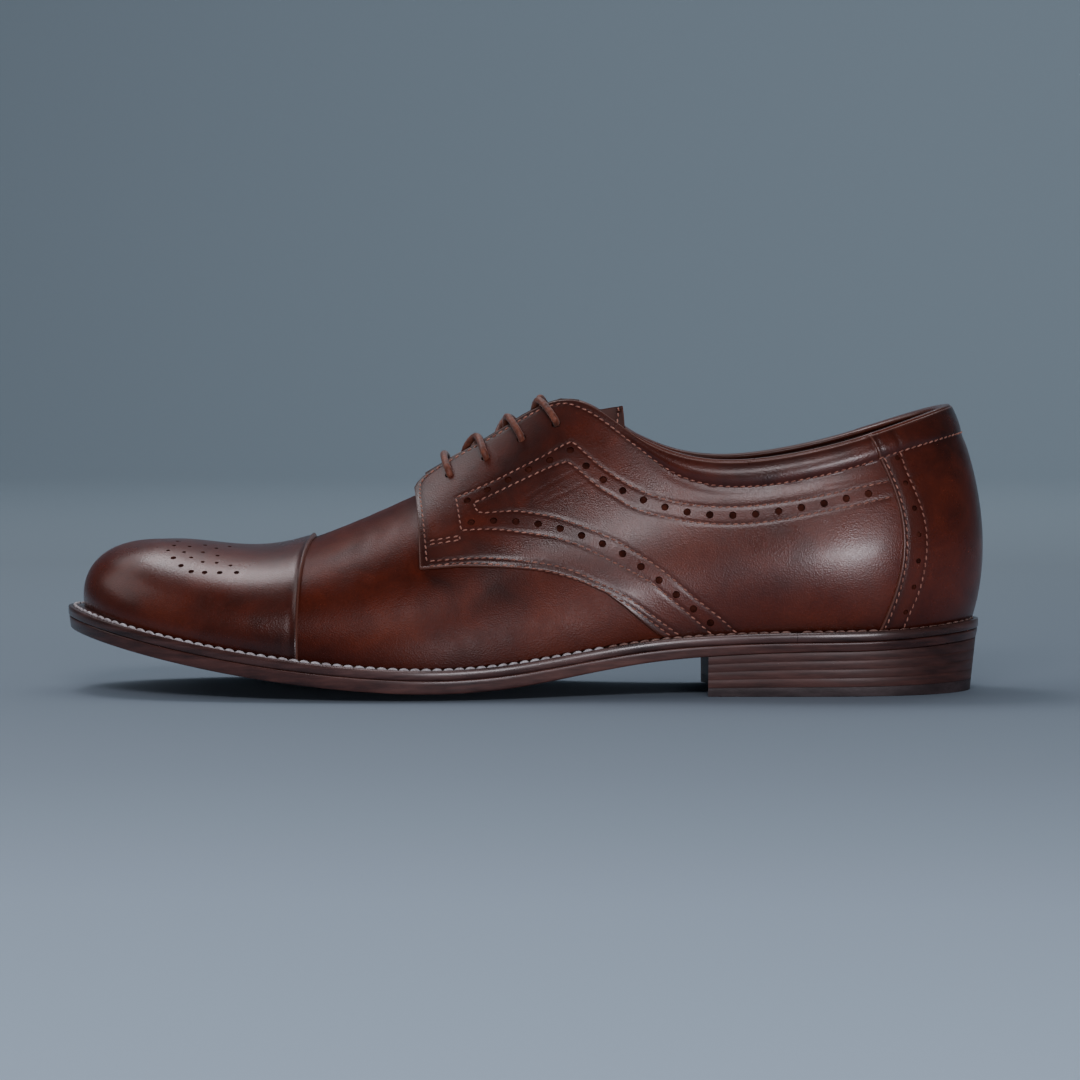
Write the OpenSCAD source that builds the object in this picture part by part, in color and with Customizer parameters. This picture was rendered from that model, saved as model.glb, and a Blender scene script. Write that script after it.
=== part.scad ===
// Open-laced leather shoe for a left foot, with a toe cap, brogue bands and a stacked heel.
// Units are millimetres, +Z is up, the toe points to -X and the outer side faces -Y.

/* [Uppers] */
// Thickness of the outer leather
leather = 1.2; // [0.9:0.1:1.4]
// Thickness of the lining leather
lining = 1.0; // [0.7:0.1:1.1]
// Thickness of the stiffeners at the toe and heel
stiffener = 0.9; // [0.6:0.1:1.0]
// Thickness of the tongue leather
tongue_leather = 1.1; // [0.9:0.1:1.3]

/* [Lacing] */
// Diameter of the round waxed lace
lace_width = 2.4; // [2.0:0.1:2.6]
// Diameter of each lace hole
lace_hole = 3.4; // [3.2:0.1:4.0]

/* [Sole] */
// Thickness of the welt and of the heel rand
welt_height = 3.3; // [2.8:0.1:3.6]
// How far the welt stands out beyond the feather line at the toe
welt_out = 7.7; // [6.8:0.1:8.5]
// Thickness of the outsole under the ball of the foot
outsole_height = 4.6; // [4.0:0.1:4.6]
// Thickness of the rubber top piece under the heel
top_piece_height = 3.9; // [3.0:0.1:5.0]
// Number of leather lifts in the heel stack
lift_count = 4; // [2:1:5]

/* [Hidden] */

// Places the middle of the footprint on the origin.
origin_shift = [-0.4, 0, 0];

tan_leather = [0.36, 0.17, 0.12];
lining_leather = [0.62, 0.45, 0.32];
dark_leather = [0.2, 0.14, 0.13];
sole_leather = [0.36, 0.23, 0.18];
rubber = [0.16, 0.14, 0.15];
steel = [0.6, 0.6, 0.62];
cork = [0.7, 0.52, 0.34];
lace_brown = [0.42, 0.24, 0.17];

// The last, as fifteen stations from the toe tip to the back of the heel.
// Each one holds the feather line (x, outer y, inner y, z), the ridge or topline
// (x, outer y, inner y, z), the bulge handles (out, up, out, up) and the facing lift.
stations = [
    [-147.3, 5, 5, 28.8, -119, 4, 4, 47.2, 1.5, 12, 20, 2, 0],
    [-139.5, -15.5, 24.5, 26.6, -113, 4, 4, 47.7, 2, 12, 24, 0.5, 0],
    [-125, -28, 36, 22.4, -103, 3, 3, 46.7, 2.5, 13, 23, -0.5, 0],
    [-104, -36.5, 42.5, 17.8, -90, 3, 3, 45.3, 3, 15, 24, -0.5, 0],
    [-80, -42.5, 45.5, 13.9, -75, 2, 2, 47, 3, 18, 26, -1, 0],
    [-56, -45.5, 45.5, 11.3, -55, 1, 1, 54.8, 3.5, 22, 26, -2, 0],
    [-32, -45.5, 40.5, 9.8, -34, 0, 0, 64.2, 3.5, 26, 24, -4, 7],
    [-8, -40.5, 32.5, 11, -9, -4, 4, 76.3, 3.5, 28, 20, -6, 7.5],
    [16, -34.5, 25.5, 15, 16, -4, 4, 94, 3.5, 30, 14, -9, 9],
    [40, -30, 22.5, 19, 37, -18, 17, 82, 6, 27, 5.5, -17, 0],
    [64, -28.5, 23, 20.6, 61, -26, 24, 75, 8, 24, 3.5, -18, 0],
    [88, -29, 25.5, 21.4, 85, -28, 26, 77.5, 9, 22, 3, -19, 0],
    [110, -28.5, 27.5, 21.4, 107, -27, 26, 82.5, 9.5, 22, 4, -21, 0],
    [128, -24, 25, 22.3, 125, -22, 22, 88.5, 8.5, 22, 7.5, -22, 0],
    [141, -14.5, 16, 23.6, 136.5, -12, 13, 92.5, 7.5, 22, 10, -22, 0],
    [148.5, 0.5, 0.5, 24.3, 140.5, 0, 0, 93.5, 7, 22, 9.5, -22, 0]];

// Which top line a surface follows.
RIDGE = 0;
VAMP = 1;
QUARTER = 2;
TONGUE = 3;

// Height of the tongue's middle line at each station.
tongue_ridge = [[6.6, 70.7], [7, 76.5], [7.5, 84.2], [8, 90.4], [8.4, 93.5], [8.8, 95]];

// Leather layers, as distances out from the last.
vamp_layer = [0, leather];
cap_layer = [leather + 0.1, 2 * leather];
quarter_layer = [leather + 0.15, 2 * leather + 0.15];
counter_layer = [2 * leather + 0.3, 3 * leather + 0.1];
lining_layer = [-0.2 - lining, -0.2];
stiff_layer = [0.1, 0.1 + stiffener];

step = 0.25;

function smooth(a, b, x) =
    let (t = min(1, max(0, (x - a) / (b - a))))
    t * t * (3 - 2 * t);
function unit(v) = v / norm(v);
function rows(a, b, gap = step) =
    let (n = round((b - a) / gap))
    [for (i = [0 : n]) a + (b - a) * i / n];

// Station i, counted past the heel onto the inner side; inner stations are negative.
function station(i) =
    let (j = (i + 75) % 30 - 15, s = stations[abs(j)], inner = j < 0)
    [s[0], inner ? s[2] : s[1], s[3], s[4], inner ? s[6] : s[5], s[7],
     s[8], s[9], s[10], s[11], s[12], (s[5] + s[6]) / 2];
function weights(f) =
    [pow(1 - f, 3), 3 * pow(f, 3) - 6 * f * f + 4, -3 * pow(f, 3) + 3 * f * f + 3 * f + 1, pow(f, 3)] / 6;
function slopes(f) = [-pow(1 - f, 2), 3 * f * f - 4 * f, -3 * f * f + 2 * f + 1, f * f] / 2;
function spline(t, w) =
    let (k = floor(t))
    w[0] * station(k - 1) + w[1] * station(k) + w[2] * station(k + 1) + w[3] * station(k + 2);
function rail(t) = spline(t, weights(t - floor(t)));
function rail_slope(t) = spline(t, slopes(t - floor(t)));
function around(t) = (t + 45) % 30 - 15;

// Outward direction of the feather line, seen from above.
function outward(t) =
    let (d = rail_slope(t), n = norm([d[0], d[1]]))
    [d[1] / n, -d[0] / n, 0];
function feather(t) = let (r = rail(t)) [r[0], r[1], r[2]];

// Section curve of the last at t, from the feather line (v = 0) to the top (v = 1).
function handles(t, kind) =
    let (r = rail(t), d = rail_slope(t), n = outward(t), a = abs(around(t)),
         split = kind == VAMP ? smooth(6, 7, a) : kind == QUARTER ? 1 : 0,
         fade = smooth(0, 1.5, a) * (1 - smooth(6, 7.5, a)),
         grade = fade == 0 ? 0 : fade * max(-2, min(2, d[5] / d[3])),
         free = kind == TONGUE,
         top = [r[3], split * r[4] + (1 - split) * r[11], free ? lookup(a, tongue_ridge) : r[5]],
         base = [r[0], r[1], r[2]],
         out = free ? min(18, r[8]) : r[8],
         up = free ? -8 : r[9])
    [base, base + n * r[6] + [0, 0, r[7]], top + n * out + [0, 0, up + grade * out * n[0]], top];
function skin(t, v, kind) =
    let (h = handles(t, kind), u = 1 - v, w = max(0, (v - 0.4) / 0.6))
    h[0] * pow(u, 3) + h[1] * 3 * v * u * u + h[2] * 3 * v * v * u + h[3] * pow(v, 3)
    + [0, 0, kind == QUARTER ? rail(t)[10] * w * w : 0];
function slant(t, v, kind) =
    let (e = 0.01)
    unit(cross(skin(t + e, v, kind) - skin(t - e, v, kind),
               skin(t, v + e, kind) - skin(t, max(0, v - e), kind)));
function facing_out(t, v, kind) =
    kind == QUARTER || v < 0.999 ? slant(t, v, kind)
    : let (s = max(0.1, abs(t))) unit(slant(s, 0.999, kind) + slant(-s, 0.999, kind));
// Point at distance d outside the last. Lower edges are cut level with the feather line.
function leather_at(t, v, d, kind) =
    let (p = skin(t, v, kind) + facing_out(t, v, kind) * d)
    [p[0], p[1], max(p[2], rail(t)[2])];

// Closed shell between an outer and an inner grid of points. Cells for which gap is true are
// left out, points for which same gives another cell are shared, and fold closes the first row.
module shell(outer, inner, same = function (i, j) [i, j], gap = function (i, j) false, fold = false) {
    n = len(outer);
    m = len(outer[0]);
    k = n * m;
    function at(i, j) = let (c = same(i, j)) c[0] * m + c[1];
    function full(i, j) = i >= 0 && j >= 0 && i < n - 1 && j < m - 1 && !gap(i, j);
    function quad(a, b, c, d) = [[a, b, c], [a, c, d]];
    faces = [for (i = [0 : n - 2]) for (j = [0 : m - 2]) if (full(i, j))
        let (a = at(i, j), b = at(i, j + 1), c = at(i + 1, j + 1), d = at(i + 1, j)) each concat(
            quad(a, b, c, d),
            quad(k + a, k + d, k + c, k + b),
            full(i, j - 1) ? [] : quad(a, d, k + d, k + a),
            full(i, j + 1) ? [] : quad(c, b, k + b, k + c),
            full(i - 1, j) || (fold && i == 0) ? [] : quad(b, a, k + a, k + b),
            full(i + 1, j) ? [] : quad(d, c, k + c, k + d))];
    whole = [for (f = faces) if (f[0] != f[1] && f[1] != f[2] && f[2] != f[0]) f];
    polyhedron(concat([for (r = outer) each r], [for (r = inner) each r]), whole);
}

// Piece of one side, from low(t) to high(t) up the last. waist draws its ends in halfway up.
module panel(ts, low, high, cols, layer, kind = QUARTER, waist = 0) {
    function point(t, j, d) =
        let (a = lookup(t, low), v = a + (lookup(t, high) - a) * j / cols)
        leather_at(15 + (t - 15) * (1 - waist * sin(180 * v)), v, d, kind);
    function grid(d) = [for (t = ts) [for (j = [0 : cols]) point(t, j, d)]];
    shell(grid(layer[1]), grid(layer[0]));
}

// Piece that lies over the ridge and down both sides. It opens along the ridge where high < 1.
module saddle(ts, low, high, cols, layer, kind = RIDGE) {
    last = 2 * cols + 1;
    function v_at(t, j) =
        let (a = lookup(t, low))
        a + (lookup(t, high) - a) * (j > cols ? last - j : j) / cols;
    function joined(i) = lookup(ts[i], high) > 0.999;
    function grid(d) = [for (t = ts) [for (j = [0 : last])
        leather_at(j > cols ? -t : t, v_at(t, j), d, kind)]];
    shell(grid(layer[1]), grid(layer[0]),
          function (i, j) ts[i] == 0 && j > cols ? [i, last - j]
               : j == cols + 1 && joined(i) ? [i, cols] : [i, j],
          function (i, j) j == cols && !(joined(i) && joined(i + 1)),
          ts[0] == 0);
}

// Rows of the sole layers, closer together round the toe and the heel.
sole_rows = concat(rows(0, 3), rows(3.5, 12.5, 0.5), rows(12.75, 15));
edge_rows = concat([for (i = [len(sole_rows) - 1 : -1 : 1]) -sole_rows[i]], sole_rows);
// How far the middle of the sole hangs below its edges.
function crown(s) = 2.35 * smooth(1.5, 5, s) * (1 - smooth(7, 10, s));
function edge_point(t, out, z) = feather(t) + outward(t) * out + [0, 0, z];
// Point across the sole at station s, with w from 0 at the outer edge to 1 at the inner edge.
function sole_point(s, w, out, z, bow = 0) =
    let (a = edge_point(s, out, z), b = edge_point(-s, out, z), c = 1 - pow(2 * w - 1, 2))
    a + (b - a) * w + [bow * c, 0, -crown(s) * c];

// Layer of the sole; top(s) and bottom(s) give [how far out, height from the feather line].
module plate(ss, cols, top, bottom, bow = 0) {
    function grid(f) = [for (s = ss) [for (j = [0 : cols])
        sole_point(s, j / cols, f(s)[0], f(s)[1], bow * (1 - smooth(ss[0], ss[0] + 1.5, s)))]];
    shell(grid(top), grid(bottom),
          function (i, j) ss[i] == 0 || ss[i] == 15 ? [i, 0] : [i, j]);
}

// Strip round the edge of the sole, from the distance inside to ends(t).
module edge_strip(ts, inside, ends, z0, z1, cols = 2) {
    function across(t) = norm(feather(t) - feather(-t)) + 2 * ends(t);
    function dip(t, out) =
        let (w = min(0.5, (ends(t) - out) / max(8, across(t))))
        crown(abs(around(t))) * (1 - pow(2 * w - 1, 2));
    function grid(z) = [for (t = ts) [for (j = [0 : cols])
        let (out = ends(t) + (inside - ends(t)) * j / cols)
        edge_point(t, out, z - dip(t, out))]];
    shell(grid(z1), grid(z0));
}

welt_edge = [[0, welt_out], [2, welt_out - 0.6], [5, 6.8], [7, 6.6], [9, 6], [11, 5.6], [13, 5.6],
             [15, 5.9]];
sole_depth = [[0, 4.2], [2, 4.4], [5, outsole_height], [7, outsole_height], [9, 3.9], [11.3, 3.3],
              [15, 3.3]];
function welt_at(t) = lookup(abs(around(t)), welt_edge);
function depth_at(s) = lookup(s, sole_depth);

side_rows = rows(5.95, 13.2);
quarter_low = [[5.95, 0.43], [6.45, 0.405], [7, 0.363], [7.6, 0.307], [8, 0.26], [8.45, 0.2], [8.7, 0.145],
               [9.1, 0.04], [9.3, 0], [13.2, 0]];
quarter_high = [[5.95, 0.93], [6.2, 0.965], [6.45, 0.98], [8, 0.985], [8.8, 1], [13.2, 1]];
from_welt = [[-30, 0], [30, 0]];
to_top = [[-30, 1], [30, 1]];
lining_high = [[7.1, 0.5], [7.6, 0.52], [8.35, 0.56], [8.85, 0.99], [12.1, 0.99]];
stay_low = [[6.05, 0.8], [8.15, 0.8]];

// The same rows and tables for the inner side, where stations are negative.
function inner_rows(ts) = [for (i = [len(ts) - 1 : -1 : 0]) -ts[i]];
function inner_table(table) = [for (i = [len(table) - 1 : -1 : 0]) [-table[i][0], table[i][1]]];

// Lace holes, as stations along each facing.
hole_stations = [6.36, 6.84, 7.31, 7.78];
hole_height = 0.865;

module on_facing(t, d) {
    p = leather_at(t, hole_height, d, QUARTER);
    z = facing_out(t, hole_height, QUARTER);
    x = unit(cross([0, 1, 0], z));
    y = cross(z, x);
    multmatrix([[x[0], y[0], z[0], p[0]], [x[1], y[1], z[1], p[1]], [x[2], y[2], z[2], p[2]], [0, 0, 0, 1]])
        children();
}
module lace_holes(side) {
    for (t = hole_stations)
        on_facing(side * t, 1.3) cylinder(d = lace_hole, h = 6, center = true, $fn = 24);
}

module toe_cap() {
    color(tan_leather) saddle(concat(rows(0, 4.25), [4.3]), from_welt, to_top, 8, cap_layer);
}
module vamp() {
    throat = [[3.75, 1], [6.75, 1], [7, 0.72], [7.25, 0.6], [8, 0.48], [9, 0.3], [10, 0.08]];
    ts = concat(rows(3.75, 6.5), rows(6.625, 7.25, 0.125), rows(7.5, 10));
    color(tan_leather) saddle(ts, from_welt, throat, 8, vamp_layer, VAMP);
}
module quarter_lateral() {
    color(tan_leather) difference() {
        panel(side_rows, quarter_low, quarter_high, 8, quarter_layer);
        lace_holes(1);
    }
}
module quarter_medial() {
    color(tan_leather) difference() {
        panel(inner_rows(side_rows), inner_table(quarter_low), inner_table(quarter_high), 8, quarter_layer);
        lace_holes(-1);
    }
}
module counter_cover() {
    color(tan_leather) panel(rows(12.33, 17.67), from_welt, to_top, 8, counter_layer, QUARTER, 0.15);
}
module toe_puff() {
    color(lining_leather) saddle(rows(0, 3.5), from_welt, to_top, 8, stiff_layer);
}
module heel_stiffener() {
    top = [[11.5, 0.35], [13, 0.72], [17, 0.72], [18.5, 0.35]];
    color(lining_leather) panel(rows(11.5, 18.5), from_welt, top, 7, stiff_layer);
}
module collar_padding() {
    low = [[8.75, 0.93], [9.5, 0.87], [12, 0.86], [18, 0.86], [20.5, 0.87], [21.25, 0.93]];
    high = [[8.75, 0.97], [9.5, 0.985], [20.5, 0.985], [21.25, 0.97]];
    color(cork) panel(rows(8.75, 21.25), low, high, 3, stiff_layer);
}
module vamp_lining() {
    color(lining_leather)
        saddle(rows(0, 7), from_welt, [[0, 1], [6.5, 1], [6.75, 0.68], [7, 0.58]], 8,
               [-0.4 - lining, -0.4], VAMP);
}
module quarter_lining_lateral() {
    color(lining_leather) panel(rows(7.1, 12.1), from_welt, lining_high, 8, lining_layer);
}
module quarter_lining_medial() {
    color(lining_leather)
        panel(inner_rows(rows(7.1, 12.1)), from_welt, inner_table(lining_high), 8, lining_layer);
}
module heel_grip() {
    color(lining_leather) panel(rows(12.2, 17.8), from_welt, [[12, 0.99], [18, 0.99]], 8, lining_layer);
}
module topline_binding() {
    color(tan_leather)
        panel(rows(9, 21), [[9, 1.003], [21, 1.003]], [[9, 1.02], [21, 1.02]], 1,
              [-0.2 - lining, 2 * leather]);
}
module facing_stay_lateral() {
    color(lining_leather) difference() {
        panel(rows(6.05, 8.15), stay_low, to_top, 3, [0.15, leather]);
        lace_holes(1);
    }
}
module facing_stay_medial() {
    color(lining_leather) difference() {
        panel(inner_rows(rows(6.05, 8.15)), inner_table(stay_low), to_top, 3, [0.15, leather]);
        lace_holes(-1);
    }
}
module eyelets() {
    r = lace_hole / 2;
    color(steel)
        for (side = [1, -1])
            for (t = hole_stations)
                on_facing(side * t, 0)
                    rotate_extrude($fn = 24)
                        polygon([[r - 0.4, -0.6], [r + 0.7, -0.6], [r + 0.7, -0.25], [r - 0.15, -0.1],
                                 [r - 0.15, 2], [r - 0.4, 2]]);
}
module tongue() {
    low = [[6.7, 0.84], [7.1, 0.72], [7.5, 0.67], [8.4, 0.66], [8.6, 0.72], [8.8, 0.84]];
    color(tan_leather) saddle(rows(6.7, 8.8), low, to_top, 7, [-0.4 - tongue_leather, -0.4], TONGUE);
}
module tongue_lining() {
    low = [[6.75, 0.85], [7.1, 0.73], [7.5, 0.68], [8.4, 0.67], [8.6, 0.74], [8.75, 0.84]];
    color(lining_leather)
        saddle(rows(6.75, 8.75), low, to_top, 7, [-1.3 - tongue_leather, -0.5 - tongue_leather], TONGUE);
}
module insole_board() {
    color(cork)
        plate(sole_rows, 4, function (s) [-1.6, 1.6], function (s) [-1.6, -0.8]);
}
module sock_liner() {
    color(lining_leather)
        plate(sole_rows, 4, function (s) [-2, 2.6], function (s) [-2, 1.7]);
}
module cork_filler() {
    color([0.5, 0.36, 0.22])
        plate([for (s = sole_rows) if (s < 7.6) s], 4, function (s) [-2, -0.9],
              function (s) [-2, -welt_height]);
}
module shank() {
    function grid(z) = [for (s = rows(8, 12, 0.5)) [for (w = [0.38 : 0.08 : 0.62]) sole_point(s, w, 0, z)]];
    color(steel) shell(grid(-1.2), grid(-2.4));
}
module welt() {
    color(dark_leather)
        edge_strip([for (t = edge_rows) if (abs(t) < 11.1) t], -1.4, function (t) welt_at(t),
                   -welt_height, -0.1);
}
module heel_rand() {
    color(dark_leather)
        edge_strip(concat([11.04], rows(11.5, 18.5, 0.5), [18.96]), -1.4, function (t) welt_at(t),
                   -welt_height, -0.1);
}
module outsole() {
    color(sole_leather)
        plate(sole_rows, 6,
              function (s) [lookup(s, welt_edge) - 0.3, -welt_height - 0.15],
              function (s) [lookup(s, welt_edge) - 1, -welt_height - depth_at(s)]);
}

// Height of the heel's seat above the ground at station s, and how far out the heel stands.
heel_rows = concat([9.85], rows(10, 12.5, 0.5), rows(12.75, 15));
function seat(s) = -welt_height - depth_at(s) - 0.05;
function heel_out(f) = 3.2 + 1.8 * f;
// Share of the heel's height that the top piece takes.
top_share = top_piece_height / (24.3 - welt_height - 3.3);
// Surface of the heel at fraction f of the way up from the ground.
function heel_level(f) = function (s) [heel_out(f), f * seat(s) - (1 - f) * rail(s)[2]];

module heel_layer(f0, f1) {
    plate(heel_rows, 4, heel_level(f1), heel_level(f0), 4);
}
module heel_lift(i) {
    h = (1 - top_share) / lift_count;
    if (i <= lift_count)
        color(sole_leather) heel_layer(top_share + (i - 1) * h + 0.004, top_share + i * h);
}
module heel_lift_1() { heel_lift(1); }
module heel_lift_2() { heel_lift(2); }
module heel_lift_3() { heel_lift(3); }
module heel_lift_4() { heel_lift(4); }
module top_piece() {
    color(rubber) heel_layer(0, top_share);
}
module heel_nails() {
    color(steel)
        for (p = [[76, -18], [76, 14], [104, -22], [104, 20], [130, 0]])
            translate([p[0], p[1], 0.6]) cylinder(d = 1.8, h = 10.5, $fn = 16);
}
// Route of the lace: tucked beside the insole on the outer side, up to the fourth row, crossing
// down to a straight bar at the first row, crossing up again, and down the inner side.
lace_route = [
    [-88, -31, 21.5], [-60, -35.5, 17], [-22.5, -36.5, 29.5], [3, -24, 61], [9, -15, 78.5],
    [11, -10.5, 86.5], [10, -14, 91], [5, -6.5, 96.5], [3, 0, 91], [2, 5, 86.5], [0.5, 9.5, 82.5],
    [-1, 14, 86], [-5, 6, 90.5], [-8.5, 0.5, 85.5], [-8.5, -4.5, 80.5], [-11, -9, 75.5],
    [-13, -13.5, 79.5], [-15.5, -5, 84.5], [-19, -1, 81], [-20.5, 3, 75], [-22.5, 9, 70.5],
    [-24.5, 12.5, 74], [-26, 4.5, 78], [-26.5, -4, 78], [-25, -12, 74], [-23, -10, 70],
    [-20, -4.5, 74], [-17, -1, 78], [-15.5, 5, 84], [-13, 12.5, 79.5], [-11, 10, 76], [-9, 5, 79.5],
    [-6, 1, 82.5], [-5.5, -6, 91], [-1.5, -13.5, 86], [0, -11, 82.5], [2, -5.5, 84.5], [5.5, 0, 88],
    [5.5, 6.5, 97], [9.5, 14, 90.5], [11.5, 10, 86.5], [9, 14, 77.5], [3, 20.5, 61],
    [-22, 31.5, 28],
    [-42, 35.5, 17.5], [-64, 35, 18]];
aglet_length = 12;

// Smooth curve through a list of points, with a given number of steps between two of them.
function curve(p, steps) =
    let (n = len(p) - 1)
    [for (i = [0 : n - 1]) for (k = [0 : i == n - 1 ? steps : steps - 1])
        let (a = p[max(0, i - 1)], b = p[i], c = p[i + 1], d = p[min(n, i + 2)], u = k / steps)
        0.5 * (2 * b + (c - a) * u + (2 * a - 5 * b + 4 * c - d) * u * u
               + (3 * b - a - 3 * c + d) * u * u * u)];
function along(p, i) = unit(p[min(len(p) - 1, i + 1)] - p[max(0, i - 1)]);
function turned(u, t) = unit(u - t * (u * t));

// Round cord of radius r along p, closed at both ends.
module tube(p, r, sides = 8) {
    n = len(p);
    first = turned([0.3, 0.9, 0.2], along(p, 0));
    sideways = [for (i = 0, u = first; i < n; i = i + 1, u = i < n ? turned(u, along(p, i)) : u) u];
    points = [for (i = [0 : n - 1]) for (k = [0 : sides - 1])
        let (a = 360 * k / sides)
        p[i] + r * (cos(a) * sideways[i] + sin(a) * cross(along(p, i), sideways[i]))];
    walls = [for (i = [0 : n - 2]) for (k = [0 : sides - 1])
        let (a = i * sides + k, b = i * sides + (k + 1) % sides) each
        [[a, a + sides, b + sides], [a, b + sides, b]]];
    start = [for (k = [0 : sides - 1]) k];
    end = [for (k = [sides - 1 : -1 : 0]) (n - 1) * sides + k];
    polyhedron(points, concat([start], walls, [end]));
}

module lace() {
    color(lace_brown) tube(curve(lace_route, 2), lace_width / 2);
}
module aglets() {
    n = len(lace_route) - 1;
    ends = [[lace_route[0], lace_route[1]], [lace_route[n], lace_route[n - 1]]];
    color(lace_brown)
        for (e = ends)
            let (d = unit(e[0] - e[1]))
            tube([for (s = [0.2 : 3.9 : aglet_length]) e[0] + d * s], lace_width / 2 + 0.2, 10);
}

translate(origin_shift) toe_cap();
translate(origin_shift) vamp();
translate(origin_shift) quarter_lateral();
translate(origin_shift) quarter_medial();
translate(origin_shift) counter_cover();
translate(origin_shift) toe_puff();
translate(origin_shift) heel_stiffener();
translate(origin_shift) vamp_lining();
translate(origin_shift) quarter_lining_lateral();
translate(origin_shift) quarter_lining_medial();
translate(origin_shift) heel_grip();
translate(origin_shift) collar_padding();
translate(origin_shift) topline_binding();
translate(origin_shift) facing_stay_lateral();
translate(origin_shift) facing_stay_medial();
translate(origin_shift) eyelets();
translate(origin_shift) tongue();
translate(origin_shift) tongue_lining();
translate(origin_shift) insole_board();
translate(origin_shift) sock_liner();
translate(origin_shift) cork_filler();
translate(origin_shift) shank();
translate(origin_shift) welt();
translate(origin_shift) heel_rand();
translate(origin_shift) outsole();
translate(origin_shift) heel_lift_1();
translate(origin_shift) heel_lift_2();
translate(origin_shift) heel_lift_3();
translate(origin_shift) heel_lift_4();
translate(origin_shift) top_piece();
translate(origin_shift) heel_nails();
translate(origin_shift) lace();
translate(origin_shift) aglets();
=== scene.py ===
# Open-laced leather shoe with a toe cap, brogue bands, a sewn welt and a stacked heel.
# Shapes are worked out in millimetres in the frame's axes; meshes are made in metres.
import math

import bpy
import numpy as np
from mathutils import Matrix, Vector
from mathutils.kdtree import KDTree


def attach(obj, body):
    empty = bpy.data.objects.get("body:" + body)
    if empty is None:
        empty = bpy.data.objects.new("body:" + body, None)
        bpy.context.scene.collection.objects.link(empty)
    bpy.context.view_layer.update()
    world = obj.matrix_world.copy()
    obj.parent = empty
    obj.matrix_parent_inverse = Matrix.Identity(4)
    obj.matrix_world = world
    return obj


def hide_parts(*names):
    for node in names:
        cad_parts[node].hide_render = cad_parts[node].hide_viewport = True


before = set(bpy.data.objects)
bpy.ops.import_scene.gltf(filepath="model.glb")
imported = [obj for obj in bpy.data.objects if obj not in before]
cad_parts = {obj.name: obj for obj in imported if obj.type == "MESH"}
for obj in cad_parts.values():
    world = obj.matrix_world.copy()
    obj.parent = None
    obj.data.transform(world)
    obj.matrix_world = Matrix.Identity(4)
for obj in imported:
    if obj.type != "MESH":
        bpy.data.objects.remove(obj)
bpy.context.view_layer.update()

MM = 0.001
# Edges sharper than this many degrees are shaded sharp.
SHARP = 38
# The footprint's middle is on the origin, as in the CAD model.
SHIFT = np.array([-0.4, 0.0, 0.0])

# The last, as sixteen stations from the toe tip to the back of the heel: the feather line
# (x, outer y, inner y, z), the ridge or topline (x, outer y, inner y, z), the bulge handles
# (out, up, out, up) and the facing lift.
STATIONS = np.array([
    [-147.3, 5, 5, 28.8, -119, 4, 4, 47.2, 1.5, 12, 20, 2, 0],
    [-139.5, -15.5, 24.5, 26.6, -113, 4, 4, 47.7, 2, 12, 24, 0.5, 0],
    [-125, -28, 36, 22.4, -103, 3, 3, 46.7, 2.5, 13, 23, -0.5, 0],
    [-104, -36.5, 42.5, 17.8, -90, 3, 3, 45.3, 3, 15, 24, -0.5, 0],
    [-80, -42.5, 45.5, 13.9, -75, 2, 2, 47, 3, 18, 26, -1, 0],
    [-56, -45.5, 45.5, 11.3, -55, 1, 1, 54.8, 3.5, 22, 26, -2, 0],
    [-32, -45.5, 40.5, 9.8, -34, 0, 0, 64.2, 3.5, 26, 24, -4, 7],
    [-8, -40.5, 32.5, 11, -9, -4, 4, 76.3, 3.5, 28, 20, -6, 7.5],
    [16, -34.5, 25.5, 15, 16, -4, 4, 94, 3.5, 30, 14, -9, 9],
    [40, -30, 22.5, 19, 37, -18, 17, 82, 6, 27, 5.5, -17, 0],
    [64, -28.5, 23, 20.6, 61, -26, 24, 75, 8, 24, 3.5, -18, 0],
    [88, -29, 25.5, 21.4, 85, -28, 26, 77.5, 9, 22, 3, -19, 0],
    [110, -28.5, 27.5, 21.4, 107, -27, 26, 82.5, 9.5, 22, 4, -21, 0],
    [128, -24, 25, 22.3, 125, -22, 22, 88.5, 8.5, 22, 7.5, -22, 0],
    [141, -14.5, 16, 23.6, 136.5, -12, 13, 92.5, 7.5, 22, 10, -22, 0],
    [148.5, 0.5, 0.5, 24.3, 140.5, 0, 0, 93.5, 7, 22, 9.5, -22, 0]])
RIDGE, VAMP, QUARTER, TONGUE = range(4)
TONGUE_RIDGE = ([6.6, 7, 7.5, 8, 8.4, 8.8], [70.7, 76.5, 84.2, 90.4, 93.5, 95])

# Leather layers, as distances out from the last, and the shapes of their edges and seams.
VAMP_LAYER = (0, 1.2)
CAP_LAYER = (1.3, 2.4)
QUARTER_LAYER = (1.35, 2.55)
COUNTER_LAYER = (2.7, 3.7)
LINING_LAYER = (-1.2, -0.2)
LEATHER_STEP = 0.55
CUT_EDGE_RADIUS = 0.45
SEAM_GROOVE = 0.12
# Seams and edges further away than this don't change the leather.
FAR = 8.0

# Outlines of the uppers, as station against height up the section.
QUARTER_LOW = ([5.95, 6.45, 7, 7.6, 8, 8.45, 8.7, 9.1, 9.3, 13.2],
               [0.43, 0.405, 0.363, 0.307, 0.26, 0.2, 0.145, 0.04, 0, 0])
QUARTER_HIGH = ([5.95, 6, 6.08, 6.22, 6.45, 8, 8.8, 13.2], [0.895, 0.925, 0.947, 0.965, 0.977, 0.985, 1, 1])
THROAT = ([3.75, 6.75, 7, 7.25, 8, 9, 10], [1, 1, 0.72, 0.6, 0.48, 0.3, 0.08])
LINING_HIGH = ([7.1, 7.6, 8.35, 8.85, 12.1], [0.5, 0.52, 0.56, 0.99, 0.99])
TONGUE_LOW = ([6.7, 7.1, 7.5, 8.4, 8.6, 8.8], [0.84, 0.72, 0.67, 0.66, 0.72, 0.84])
COUNTER_START = 12.33
COUNTER_WAIST = 0.15
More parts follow.
